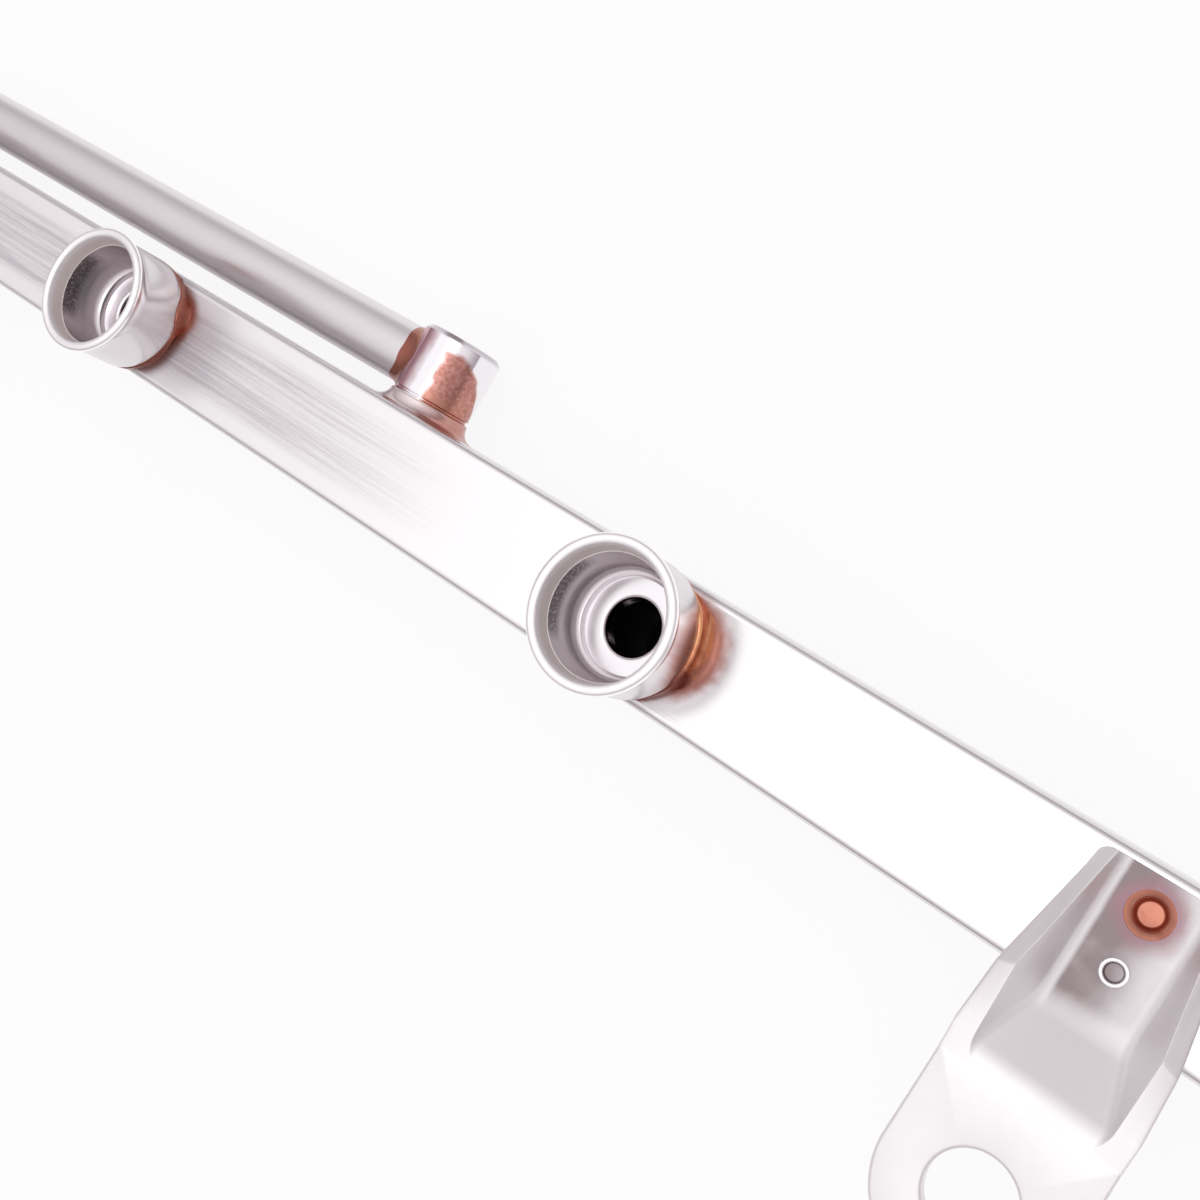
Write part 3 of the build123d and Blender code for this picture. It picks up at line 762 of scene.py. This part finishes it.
def cup_row_tree():
    """Turns the cup's outline round an upright axis and repeats it along the rail."""
    tree = bpy.data.node_groups.new("cup_row", "GeometryNodeTree")
    kinds = {"Geometry": "Geometry", "Cups": "Int", "Spacing": "Float", "First cup": "Vector"}
    kinds |= {"Body radius": "Float", "Steps round": "Int", "Finish": "Material"}
    for label, kind in kinds.items():
        tree.interface.new_socket(label, in_out="INPUT", socket_type="NodeSocket" + kind)
    tree.interface.new_socket("Geometry", in_out="OUTPUT", socket_type="NodeSocketGeometry")
    given = node("NodeGroupInput", tree=tree)
    section = node("GeometryNodeMeshToCurve", {"Mesh": given["Geometry"]})[0]
    circle = {"Resolution": given["Steps round"], "Radius": given["Body radius"]}
    ring = node("GeometryNodeCurvePrimitiveCircle", circle)["Curve"]
    turned = node("GeometryNodeCurveToMesh", {"Curve": ring, "Profile Curve": section})[0]
    gap = node("ShaderNodeCombineXYZ", {"X": given["Spacing"]})[0]
    line = {"Count": given["Cups"], "Start Location": given["First cup"], "Offset": gap}
    row = node("GeometryNodeMeshLine", line)[0]
    spaced = node("GeometryNodeInstanceOnPoints", {"Points": row, "Instance": turned})[0]
    real = node("GeometryNodeRealizeInstances", {"Geometry": spaced})[0]
    done = node("GeometryNodeSetMaterial", {"Geometry": real, "Material": given["Finish"]})[0]
    node("NodeGroupOutput", {"Geometry": done})
    return tree


def applied_tree(host, tree, values):
    """The plain mesh that a Geometry Nodes tree makes on host, with its named inputs set."""
    modifier = host.modifiers.new(tree.name, "NODES")
    modifier.node_group = tree
    for item in tree.interface.items_tree:
        if item.in_out == "INPUT" and item.name in values:
            modifier[item.identifier] = values[item.name]
    return applied(host)


class RAIL_OT_cups(Operator):
    """Make the row of injector cups"""

    bl_idname = "fuel_rail.cups"
    bl_label = "Injector cups"

    def execute(self, context):
        sizes = context.scene.fuel_rail_cups
        # A section's X points away from the circle that carries it, and its Y points down.
        points = [(radius - sizes.body, -height, 0.0) for radius, height in cup_outline(sizes)]
        edges = [(i, (i + 1) % len(points)) for i in range(len(points))]
        section = bpy.data.meshes.new("cup_section")
        section.from_pydata(points, edges, [])
        given = {
            "Cups": len(CUPS),
            "Spacing": (CUP_X[-1] - CUP_X[0]) / (len(CUPS) - 1),
            "First cup": (CUP_X[0], 0.0, RAIL_TOP),
            "Body radius": sizes.body,
            "Steps round": sizes.turns,
            "Finish": bpy.data.materials["deep_drawn_stainless"],
        }
        mesh = outward(applied_tree(placed("cup_row_host", section), cup_row_tree(), given))
        finish_piece(mesh, "injector_cups", "deep_drawn_stainless", CUPS, sharp=24)
        return {"FINISHED"}


# ---- the braze
def wander(angle, seed, coarse=1.3):
    """Smooth noise round a circle, from about -1 to 1."""
    return noise.noise(Vector((cos(angle) * coarse, sin(angle) * coarse, seed))) * 1.6


def smooth(value, low, high):
    t = min(max((value - low) / (high - low), 0.0), 1.0)
    return t * t * (3 - 2 * t)


def rail_drop(y):
    """How far the rail's rounded edge falls below its face at that distance from the middle."""
    past = min(max(abs(y) - (RAIL_WIDTH / 2 - RAIL_CORNER), 0.0), RAIL_CORNER)
    return RAIL_CORNER - sqrt(max(RAIL_CORNER**2 - past**2, 0.0))


def on_face(reach, side, angle):
    """A reach from an axis on the rail's middle line, cut off at a distance to the side."""
    return min(reach, side / max(abs(sin(angle)), 1e-6))


def pool_reach(angle, place, radius):
    """How far a round pool reaches from the cup's axis in one direction."""
    along = place[0] * cos(angle) + place[1] * sin(angle)
    off = place[0] * sin(angle) - place[1] * cos(angle)
    if abs(off) >= radius:
        return 0.0
    return max(along + sqrt(radius**2 - off**2), 0.0)


def cup_fillet_section(sizes, cup, spot, seed):
    """Section of the copper at the foot of one cup, by angle."""
    corner_r = cup.body - cup.corner
    side = RAIL_WIDTH / 2 - 0.25 * MM
    # How gently the pool's outline runs into the thin fillet.
    soft = 0.8 * MM

    def section(angle):
        thin = cup.body + sizes.cup_reach + sizes.cup_uneven * wander(angle, seed)
        pooled = pool_reach(angle, spot, spot[2] - sizes.film)
        reach = (thin + pooled + sqrt((thin - pooled) ** 2 + soft**2)) / 2
        foot_r = on_face(reach, side, angle)
        foot_z = -rail_drop(foot_r * sin(angle)) - 0.01 * MM
        open_share = smooth(foot_r, 7.5 * MM, 9.2 * MM)
        tilt = radians(62 + 28 * open_share)
        ripple = 0.06 * MM * wander(angle, seed + 7.0, 3.0)
        top_z = cup.corner * (1 - cos(tilt)) + open_share * (sizes.cup_tall - cup.corner + ripple)
        top = (corner_r + cup.corner * sin(tilt), top_z)
        bead = sizes.bead * (0.35 + 0.65 * open_share)
        crest = (top[0] + bead, top[1] - 1.1 * bead)
        low = (
            crest[0] + 0.1 * (foot_r - crest[0]) - 0.05 * MM * (1 - open_share),
            foot_z + (0.07 + 0.39 * (1 - open_share)) * (crest[1] - foot_z),
        )
        rounded = ((0, 0), (0.62, 0.2), (0.93, 0.6))
        skin = [(top[0] + out * bead, top[1] - down * bead) for out, down in rounded]
        skin += bowl(crest, low, (foot_r, foot_z), 16)
        return skin + [
            (foot_r - 0.05 * MM, foot_z - 0.12 * MM),
            (corner_r - 0.3 * MM, -0.3 * MM - rail_drop(corner_r * sin(angle))),
            (corner_r - 0.3 * MM, 0.25 * MM),
            (top[0] - 0.25 * MM, top[1] + 0.02 * MM),
        ]

    return section


class RAIL_OT_cup_braze(Operator):
    """Make the copper at the foot of each injector cup"""

    bl_idname = "fuel_rail.cup_braze"
    bl_label = "Copper at the cups"

    def execute(self, context):
        sizes = context.scene.fuel_rail_braze
        cup = context.scene.fuel_rail_cups
        for number, (x, spot) in enumerate(zip(CUP_X, pool_places(sizes)), start=1):
            name = f"cup_copper_{number}"
            spot = (spot[0] - x, spot[1], spot[2])
            section = cup_fillet_section(sizes, cup, spot, 3.0 * number)
            mesh = ring_mesh(name, section, sizes.steps, Matrix.Translation((x, 0.0, RAIL_TOP)))
            nodes = [f"cup_braze_{number}"]
            finish_piece(mesh, name, "furnace_braze_copper", nodes, sharp=60)
        return {"FINISHED"}


# ---- the feed
def lying(x, y, z, axis):
    """From a turned piece's own axis to one that lies along the rail or across it."""
    return Matrix.Translation((x, y, z)) @ Matrix.Rotation(-pi / 2, 4, axis)


def boss_flare(sizes):
    """Section of the copper at the boss's foot, by angle about the boss."""
    side = RAIL_WIDTH / 2 - 0.9 * MM

    def section(angle):
        reach = BOSS_RADIUS + sizes.boss_reach + 0.35 * MM * wander(angle, 31.0)
        foot_r = on_face(reach, side, angle)
        top = (BOSS_RADIUS, sizes.boss_tall + 0.12 * MM * wander(angle, 37.0, 2.5))
        crest = (BOSS_RADIUS + 0.12 * MM, top[1] - 0.18 * MM)
        low = (crest[0] + 0.08 * (foot_r - crest[0]), 0.12 * crest[1])
        return [
            top,
            *bowl(crest, low, (foot_r, 0.0), 14),
            (foot_r - 0.05 * MM, -0.12 * MM),
            (BOSS_RADIUS - 0.4 * MM, -0.12 * MM),
            (BOSS_RADIUS - 0.4 * MM, top[1] - 0.3 * MM),
        ]

    return section


def pipe_collar(sizes):
    """Section of the copper where the pipe enters the round boss, by angle about the pipe."""
    bead_tall = 0.95 * MM
    pipe_r = (PIPE_HIGH.z - PIPE_MIDDLE.z) - bead_tall

    def section(angle):
        out = pipe_r + sizes.pipe_out + 0.15 * MM * wander(angle, 41.0)
        depth = sqrt(BOSS_RADIUS**2 - (out * cos(angle)) ** 2)
        pipe_depth = sqrt(BOSS_RADIUS**2 - (pipe_r * cos(angle)) ** 2)
        along = pipe_depth + sizes.pipe_along + 0.4 * MM * wander(angle, 43.0)
        control = (pipe_r + 0.25 * (out - pipe_r), depth + 0.35 * (along - depth))
        return [
            *bowl((out, depth - 0.02 * MM), control, (pipe_r, along), 14),
            (pipe_r - 0.15 * MM, along - 0.05 * MM),
            (pipe_r - 0.15 * MM, depth - 0.3 * MM),
            (out - 0.2 * MM, depth - 0.3 * MM),
        ]

    return section


class RAIL_OT_feed(Operator):
    """Make the feed boss, its pipe and their copper"""

    bl_idname = "fuel_rail.feed"
    bl_label = "Feed boss and pipe"

    def execute(self, context):
        sizes = context.scene.fuel_rail_braze
        dress("turned_stainless_boss", "feed_boss")
        dress("satin_stainless_pipe", "feed_pipe")
        at_boss = lying(middle("feed_boss").x, RAIL_SIDE, RAIL_MIDDLE, "X")
        along_pipe = lying(0.0, PIPE_MIDDLE.y, RAIL_MIDDLE, "Y")
        for name, section, place, metal_name, replaced in (
            ("boss_copper", boss_flare, at_boss, "thin_silvery_copper", "feed_boss_braze"),
            ("pipe_copper", pipe_collar, along_pipe, "furnace_braze_copper", "feed_pipe_braze"),
        ):
            mesh = ring_mesh(name, section(sizes), sizes.steps, place)
            finish_piece(mesh, name, metal_name, [replaced], sharp=60)
        return {"FINISHED"}


# ---- the rail and caps
class RAIL_OT_tube(Operator):
    """Finish the rail tube, its end caps and the pipe's saddle"""

    bl_idname = "fuel_rail.tube"
    bl_label = "Rail tube"

    def execute(self, context):
        dress("drawn_stainless_tube", "rail_tube")
        dress("pickled_sheet_steel", "end_cap_left", "end_cap_right", "pipe_saddle")
        copper = ("end_cap_braze_left", "end_cap_braze_right", "pipe_saddle_braze")
        dress("furnace_braze_copper", *copper)
        return {"FINISHED"}


# ---- the brackets
def bend_stations(sizes):
    """Stations (distance from the middle, height, tilt) of the web's underside."""
    rise = sizes.rise
    low_run = sizes.rise_bend * sin(rise)
    low_rise = sizes.rise_bend * (1 - cos(rise))
    top_rise = sizes.ear_tall - sizes.ear_bend * (1 - cos(rise))
    top_run = sizes.rise_start + low_run + (top_rise - low_rise) * cos(rise) / sin(rise)
    steps = 10
    flat = sizes.start + sizes.rise_start
    stations = [(flat * i / steps - sizes.start, 0.0, 0.0) for i in range(steps)]
    for i in range(steps + 1):
        tilt = rise * i / steps
        out = sizes.rise_start + sizes.rise_bend * sin(tilt)
        stations.append((out, sizes.rise_bend * (1 - cos(tilt)), tilt))
    for i in range(steps + 1):
        tilt = rise * (1 - i / steps)
        out = top_run + sizes.ear_bend * (sin(rise) - sin(tilt))
        stations.append((out, top_rise + sizes.ear_bend * (cos(tilt) - cos(rise)), tilt))
    return stations


def flange_line(sizes, radius, foot, height):
    """Points (x, height) up a flange's bend and then straight to a height."""
    turn = pi / 2 - sizes.lean
    half = sizes.web / 2
    part = min(max((height - foot) / radius, 0.0), 1.0 - cos(turn))
    last = acos(1.0 - part)
    points = []
    for i in range(1, 9):
        angle = last * i / 8
        points.append((half + radius * sin(angle), foot + radius * (1 - cos(angle))))
    run = max(height - foot - radius * (1 - cos(turn)), 0.0) / sin(turn)
    x, z = points[-1]
    return points + [(x + run * i / 3 * cos(turn), z + run * i / 3 * sin(turn)) for i in (1, 2, 3)]


def channel_loop(sizes, outer, inner):
    """The channel's closed section: web, bends, and flanges of those heights with worn edges."""
    half = sizes.web / 2
    outer_r = sizes.bend + sizes.sheet
    worn = sizes.round_over
    crisp = 0.15 * worn
    up = flange_line(sizes, sizes.bend, sizes.sheet, inner - 0.8 * crisp)
    down = flange_line(sizes, outer_r, 0.0, outer - 0.8 * worn)[::-1]
    inner_tip = flange_line(sizes, sizes.bend, sizes.sheet, inner)[-1]
    outer_tip = flange_line(sizes, outer_r, 0.0, outer)[-1]
    width = hypot(outer_tip[0] - inner_tip[0], outer_tip[1] - inner_tip[1])
    across = [
        tuple(a + (b - a) * t for a, b in zip(inner_tip, outer_tip))
        for t in (crisp / width, 0.35, 0.5, 0.65, 1 - worn / width)
    ]
    right = [(0.0, sizes.sheet), (half / 2, sizes.sheet), (half, sizes.sheet), *up]
    right += bowl(up[-1], inner_tip, across[0], 4)[1:]
    right += [*across[1:-1], *bowl(across[-1], outer_tip, down[0], 4)[:-1]]
    right += [*down, (half, 0.0), (half / 2, 0.0), (0.0, 0.0)]
    return right + [(-x, z) for x, z in right[-2:0:-1]]


def arm_mesh(sizes):
    """The channel: web, bends and leaning flanges, lower at the end and higher by the ear."""
    # The arm's edges stop a hair under the ear's top face, so that no two faces share a plane.
    ear_top = sizes.ear_tall + sizes.sheet - 0.02 * MM
    edge_start = sizes.sheet + sizes.edge_start
    rise_of_cut = sizes.cut * sizes.sheet * sin(sizes.lean)
    start_tip = flange_line(sizes, sizes.bend + sizes.sheet, 0.0, edge_start)[-1]
    corner_x = start_tip[0] - sizes.corner
    points, faces = [], []
    count = 0
    for out, up, tilt in bend_stations(sizes):
        edge = edge_start + (sizes.start + out) * sizes.slope - up
        limit = (ear_top - up) / cos(tilt)
        outer = min(edge / (cos(tilt) + sizes.slope * sin(tilt)), limit)
        loop = channel_loop(sizes, outer, min(outer + rise_of_cut, max(limit, outer)))
        count = len(loop)
        for x, h in loop:
            # The flanges keep their planes as the web rises between them, so the web widens.
            wider = sizes.widen * tan(sizes.lean) * (up - (1 - cos(tilt)) * h)
            x += copysign(wider * min(2 * abs(x) / sizes.web, 1.0), x)
            y = sin(tilt) * h - out
            past = min(max(abs(x) - corner_x, 0.0), sizes.corner)
            cut = sizes.corner - sqrt(sizes.corner**2 - past**2)
            share = max(y + sizes.rise_start, 0.0) / (sizes.start + sizes.rise_start)
            points.append((x, y - cut * share, up + cos(tilt) * h))
    rings = len(points) // count
    for low in range(0, (rings - 1) * count, count):
        for i in range(count):
            j = (i + 1) % count
            faces.append((low + i, low + j, low + count + j, low + count + i))
    faces.append(tuple(range(count)))
    faces.append(tuple(reversed(range((rings - 1) * count, rings * count))))
    return mesh_from("arm", points, faces)


def ear_mesh(sizes, start_y, hole_y):
    """The flat ear round the bolt's hole, widening from the arm to its round end."""
    neck = sizes.web / 2 + (sizes.bend + sizes.sheet) * cos(sizes.lean)
    neck += sizes.widen * tan(sizes.lean) * sizes.ear_tall
    away = start_y - hole_y + 1.2 * sizes.round_over
    reach = hypot(neck, away)
    neck_angle = acos(neck / reach)
    # Where the straight side meets the round end, as an angle about the bolt's axis.
    meet = neck_angle - acos(sizes.ear / reach)
    worn = sizes.round_over
    low, high = sizes.ear_tall, sizes.ear_tall + sizes.sheet

    def section(angle):
        folded = acos(abs(cos(angle))) if sin(angle) > 0 else 0.0
        if folded > neck_angle:
            edge = away / sin(folded)
        elif folded > meet:
            edge = sizes.ear / cos(folded - meet)
        else:
            edge = sizes.ear
        hole = sizes.bolt
        return [
            *arc((edge - worn, high - worn), worn, 90, 0, 4),
            *arc((edge - worn, low + worn), worn, 0, -90, 4),
            *arc((hole + worn, low + worn), worn, 270, 180, 4),
            *arc((hole + worn, high - worn), worn, 180, 90, 4),
        ]

    return ring_mesh("ear", section, 360, Matrix.Translation((0.0, hole_y, 0.0)))


def bracket_mesh(sizes):
    """One bracket about X = 0, its web's underside on Z = 0."""
    start_y = -bend_stations(sizes)[-1][0]
    feed_place = Matrix.Translation((0.0, BRACKET_FEED_Y, 0.0))
    dent_place = Matrix.Translation((0.0, BRACKET_FEED_Y - sizes.dent_from_feed, 0.0))
    sheet, over = sizes.sheet, 2 * sizes.sheet
    pin = [(0.0, -sheet), (sizes.feed, -sheet), (sizes.feed, over), (0.0, over)]
    floor = sheet - sizes.dent_deep
    floor_r, brim_r = 0.7 * sizes.dent, 0.95 * sizes.dent
    dent = [(0.0, floor), (floor_r, floor), (brim_r, sheet), (brim_r, over), (0.0, over)]
    arm = carved(
        arm_mesh(sizes),
        turned_mesh("pin", pin, 48, feed_place),
        turned_mesh("dent", dent, 40, dent_place),
    )
    bead = arc((sizes.dent, sheet - 0.1 * MM), 0.24 * MM, -90, 240, 11)
    rim = turned_mesh("rim", bead, 40, dent_place)
    return joined(arm, ear_mesh(sizes, start_y, start_y - sizes.ear_reach), rim)


class RAIL_OT_brackets(Operator):
    """Finish the mounting brackets and the copper in their feed holes"""

    bl_idname = "fuel_rail.brackets"
    bl_label = "Mounting brackets"

    def execute(self, context):
        for side in ("left", "right"):
            name = f"bracket_{side}"
            mesh = bracket_mesh(context.scene.fuel_rail_brackets)
            mesh.transform(Matrix.Translation((middle(name).x, 0.0, RAIL_TOP)))
            dressed = name + "_dressed"
            finish_piece(mesh, dressed, "pickled_sheet_steel", [name], sharp=30)
        dress("furnace_braze_copper", "bracket_braze_left", "bracket_braze_right")
        return {"FINISHED"}


# ---- the finishes and stage
class RAIL_OT_finishes(Operator):
    """Make the metals"""

    bl_idname = "fuel_rail.finishes"
    bl_label = "Finishes"

    def execute(self, context):
        colours = context.scene.fuel_rail_colours
        pools = pool_places(context.scene.fuel_rail_braze)
        dent_from_feed = context.scene.fuel_rail_brackets.dent_from_feed
        metal("drawn_stainless_tube", drawn_tube, colours, pools)
        metal("deep_drawn_stainless", drawn_cup, colours, pools)
        metal("furnace_braze_copper", braze_copper, colours, pools)
        metal("turned_stainless_boss", turned_boss, colours)
        metal("satin_stainless_pipe", drawn_pipe, colours)
        metal("thin_silvery_copper", flare_copper, colours)
        metal("pickled_sheet_steel", pickled_sheet, colours, dent_from_feed)
        return {"FINISHED"}


def set_camera(sizes):
    data = bpy.data.cameras.new("camera")
    data.lens = sizes.focal
    data.sensor_width = 36.0
    data.clip_start = 0.005
    data.clip_end = 20.0
    right = Vector(sizes.right).normalized()
    back = Vector(sizes.back).normalized()
    turn = Matrix((right, back.cross(right), back)).transposed().to_4x4()
    camera = placed("camera", data)
    camera.matrix_world = Matrix.Translation(sizes.eye) @ turn
    bpy.context.scene.camera = camera


def seen_directly(tree):
    """1 for what the camera sees, straight, in metal or through glass."""
    path = node("ShaderNodeLightPath", tree=tree)
    mirrored = combine("MAXIMUM", path["Is Glossy Ray"], path["Is Transmission Ray"])
    return combine("MAXIMUM", path["Is Camera Ray"], mirrored)


def lay_table(sizes, colours):
    """A plain pale table that the rail lies on, most of it lit evenly as a light table is."""
    reach = 3.0
    mesh = bpy.data.meshes.new("table")
    corners = [(-reach, -reach, 0), (reach, -reach, 0), (reach, reach, 0), (-reach, reach, 0)]
    mesh.from_pydata(corners, [], [(0, 1, 2, 3)])
    material = bpy.data.materials.new("pale_table")
    tree = emptied(material)
    tone = linear(colours.table)
    matt = node("ShaderNodeBsdfDiffuse", {"Color": tone}, tree)[0]
    glow = node("ShaderNodeEmission", {"Color": tone, "Strength": 1.0}, tree)[0]
    share = times(seen_directly(tree), sizes.glow)
    both = node("ShaderNodeMixShader", {0: share, 1: matt, 2: glow})[0]
    node("ShaderNodeOutputMaterial", {"Surface": both})
    mesh.materials.append(material)
    table = placed("table", mesh)


def light_room(sizes, colours):
    """A softbox overhead in a pale room that darkens towards the horizon."""
    lamp = bpy.data.lights.new("softbox", "AREA")
    lamp.shape = "RECTANGLE"
    lamp.size = 0.36
    lamp.size_y = 0.3
    lamp.energy = sizes.lamp
    placed("softbox", lamp).location = (0.1, 0.06, 0.6)
    world = bpy.data.worlds.new("room")
    bpy.context.scene.world = world
    tree = emptied(world)
    direction = node("ShaderNodeTexCoord", tree=tree)["Generated"]
    height = node("ShaderNodeSeparateXYZ", {0: direction})["Z"]
    both_ways = {0: direction, 1: Vector((-0.06, 0.04, 1.0)).normalized()}
    overhead = node("ShaderNodeVectorMath", both_ways, operation="DOT_PRODUCT")["Value"]
    tone = coats(
        colours.horizon,
        (ramp(height, 0.0, 0.78), colours.wall),
        (ramp(overhead, 0.77, 0.85), colours.ceiling),
    )
    room = node("ShaderNodeBackground", {"Color": tone, "Strength": sizes.sky})[0]
    plain = {"Color": linear(colours.table), "Strength": 1.0}
    backdrop = node("ShaderNodeBackground", plain, tree)[0]
    camera = node("ShaderNodeLightPath", tree=tree)["Is Camera Ray"]
    both = node("ShaderNodeMixShader", {0: camera, 1: room, 2: backdrop})[0]
    node("ShaderNodeOutputWorld", {"Surface": both})


class RAIL_OT_stage(Operator):
    """Set up the table, the light and the camera"""

    bl_idname = "fuel_rail.stage"
    bl_label = "Table, light and camera"

    def execute(self, context):
        sizes = context.scene.fuel_rail_stage
        set_camera(sizes)
        colours = context.scene.fuel_rail_colours
        lay_table(sizes, colours)
        light_room(sizes, colours)
        context.scene.view_settings.view_transform = "Standard"
        return {"FINISHED"}


OPERATORS = (
    RAIL_OT_finishes,
    RAIL_OT_tube,
    RAIL_OT_cups,
    RAIL_OT_cup_braze,
    RAIL_OT_feed,
    RAIL_OT_brackets,
    RAIL_OT_stage,
)


class RAIL_PT_panel(Panel):
    """Lists the pieces of the fuel rail in the sidebar."""

    bl_idname = "RAIL_PT_panel"
    bl_label = "Fuel rail"
    bl_space_type = "VIEW_3D"
    bl_region_type = "UI"
    bl_category = "Fuel rail"

    def draw(self, context):
        for operator in OPERATORS:
            self.layout.operator(operator.bl_idname)


GROUPS = {
    "fuel_rail_brackets": BracketSizes,
    "fuel_rail_cups": CupSizes,
    "fuel_rail_braze": BrazeSizes,
    "fuel_rail_colours": FinishColours,
    "fuel_rail_stage": StageSizes,
}


def register():
    for name, group in GROUPS.items():
        bpy.utils.register_class(group)
        setattr(bpy.types.Scene, name, bpy.props.PointerProperty(type=group))
    for shown in (*OPERATORS, RAIL_PT_panel):
        bpy.utils.register_class(shown)


def unregister():
    for shown in (RAIL_PT_panel, *reversed(OPERATORS)):
        bpy.utils.unregister_class(shown)
    for name, group in GROUPS.items():
        delattr(bpy.types.Scene, name)
        bpy.utils.unregister_class(group)


def main():
    register()
    bpy.ops.fuel_rail.finishes()
    bpy.ops.fuel_rail.tube()
    bpy.ops.fuel_rail.cups()
    bpy.ops.fuel_rail.cup_braze()
    bpy.ops.fuel_rail.feed()
    bpy.ops.fuel_rail.brackets()
    bpy.ops.fuel_rail.stage()


if __name__ == "__main__":
    main()
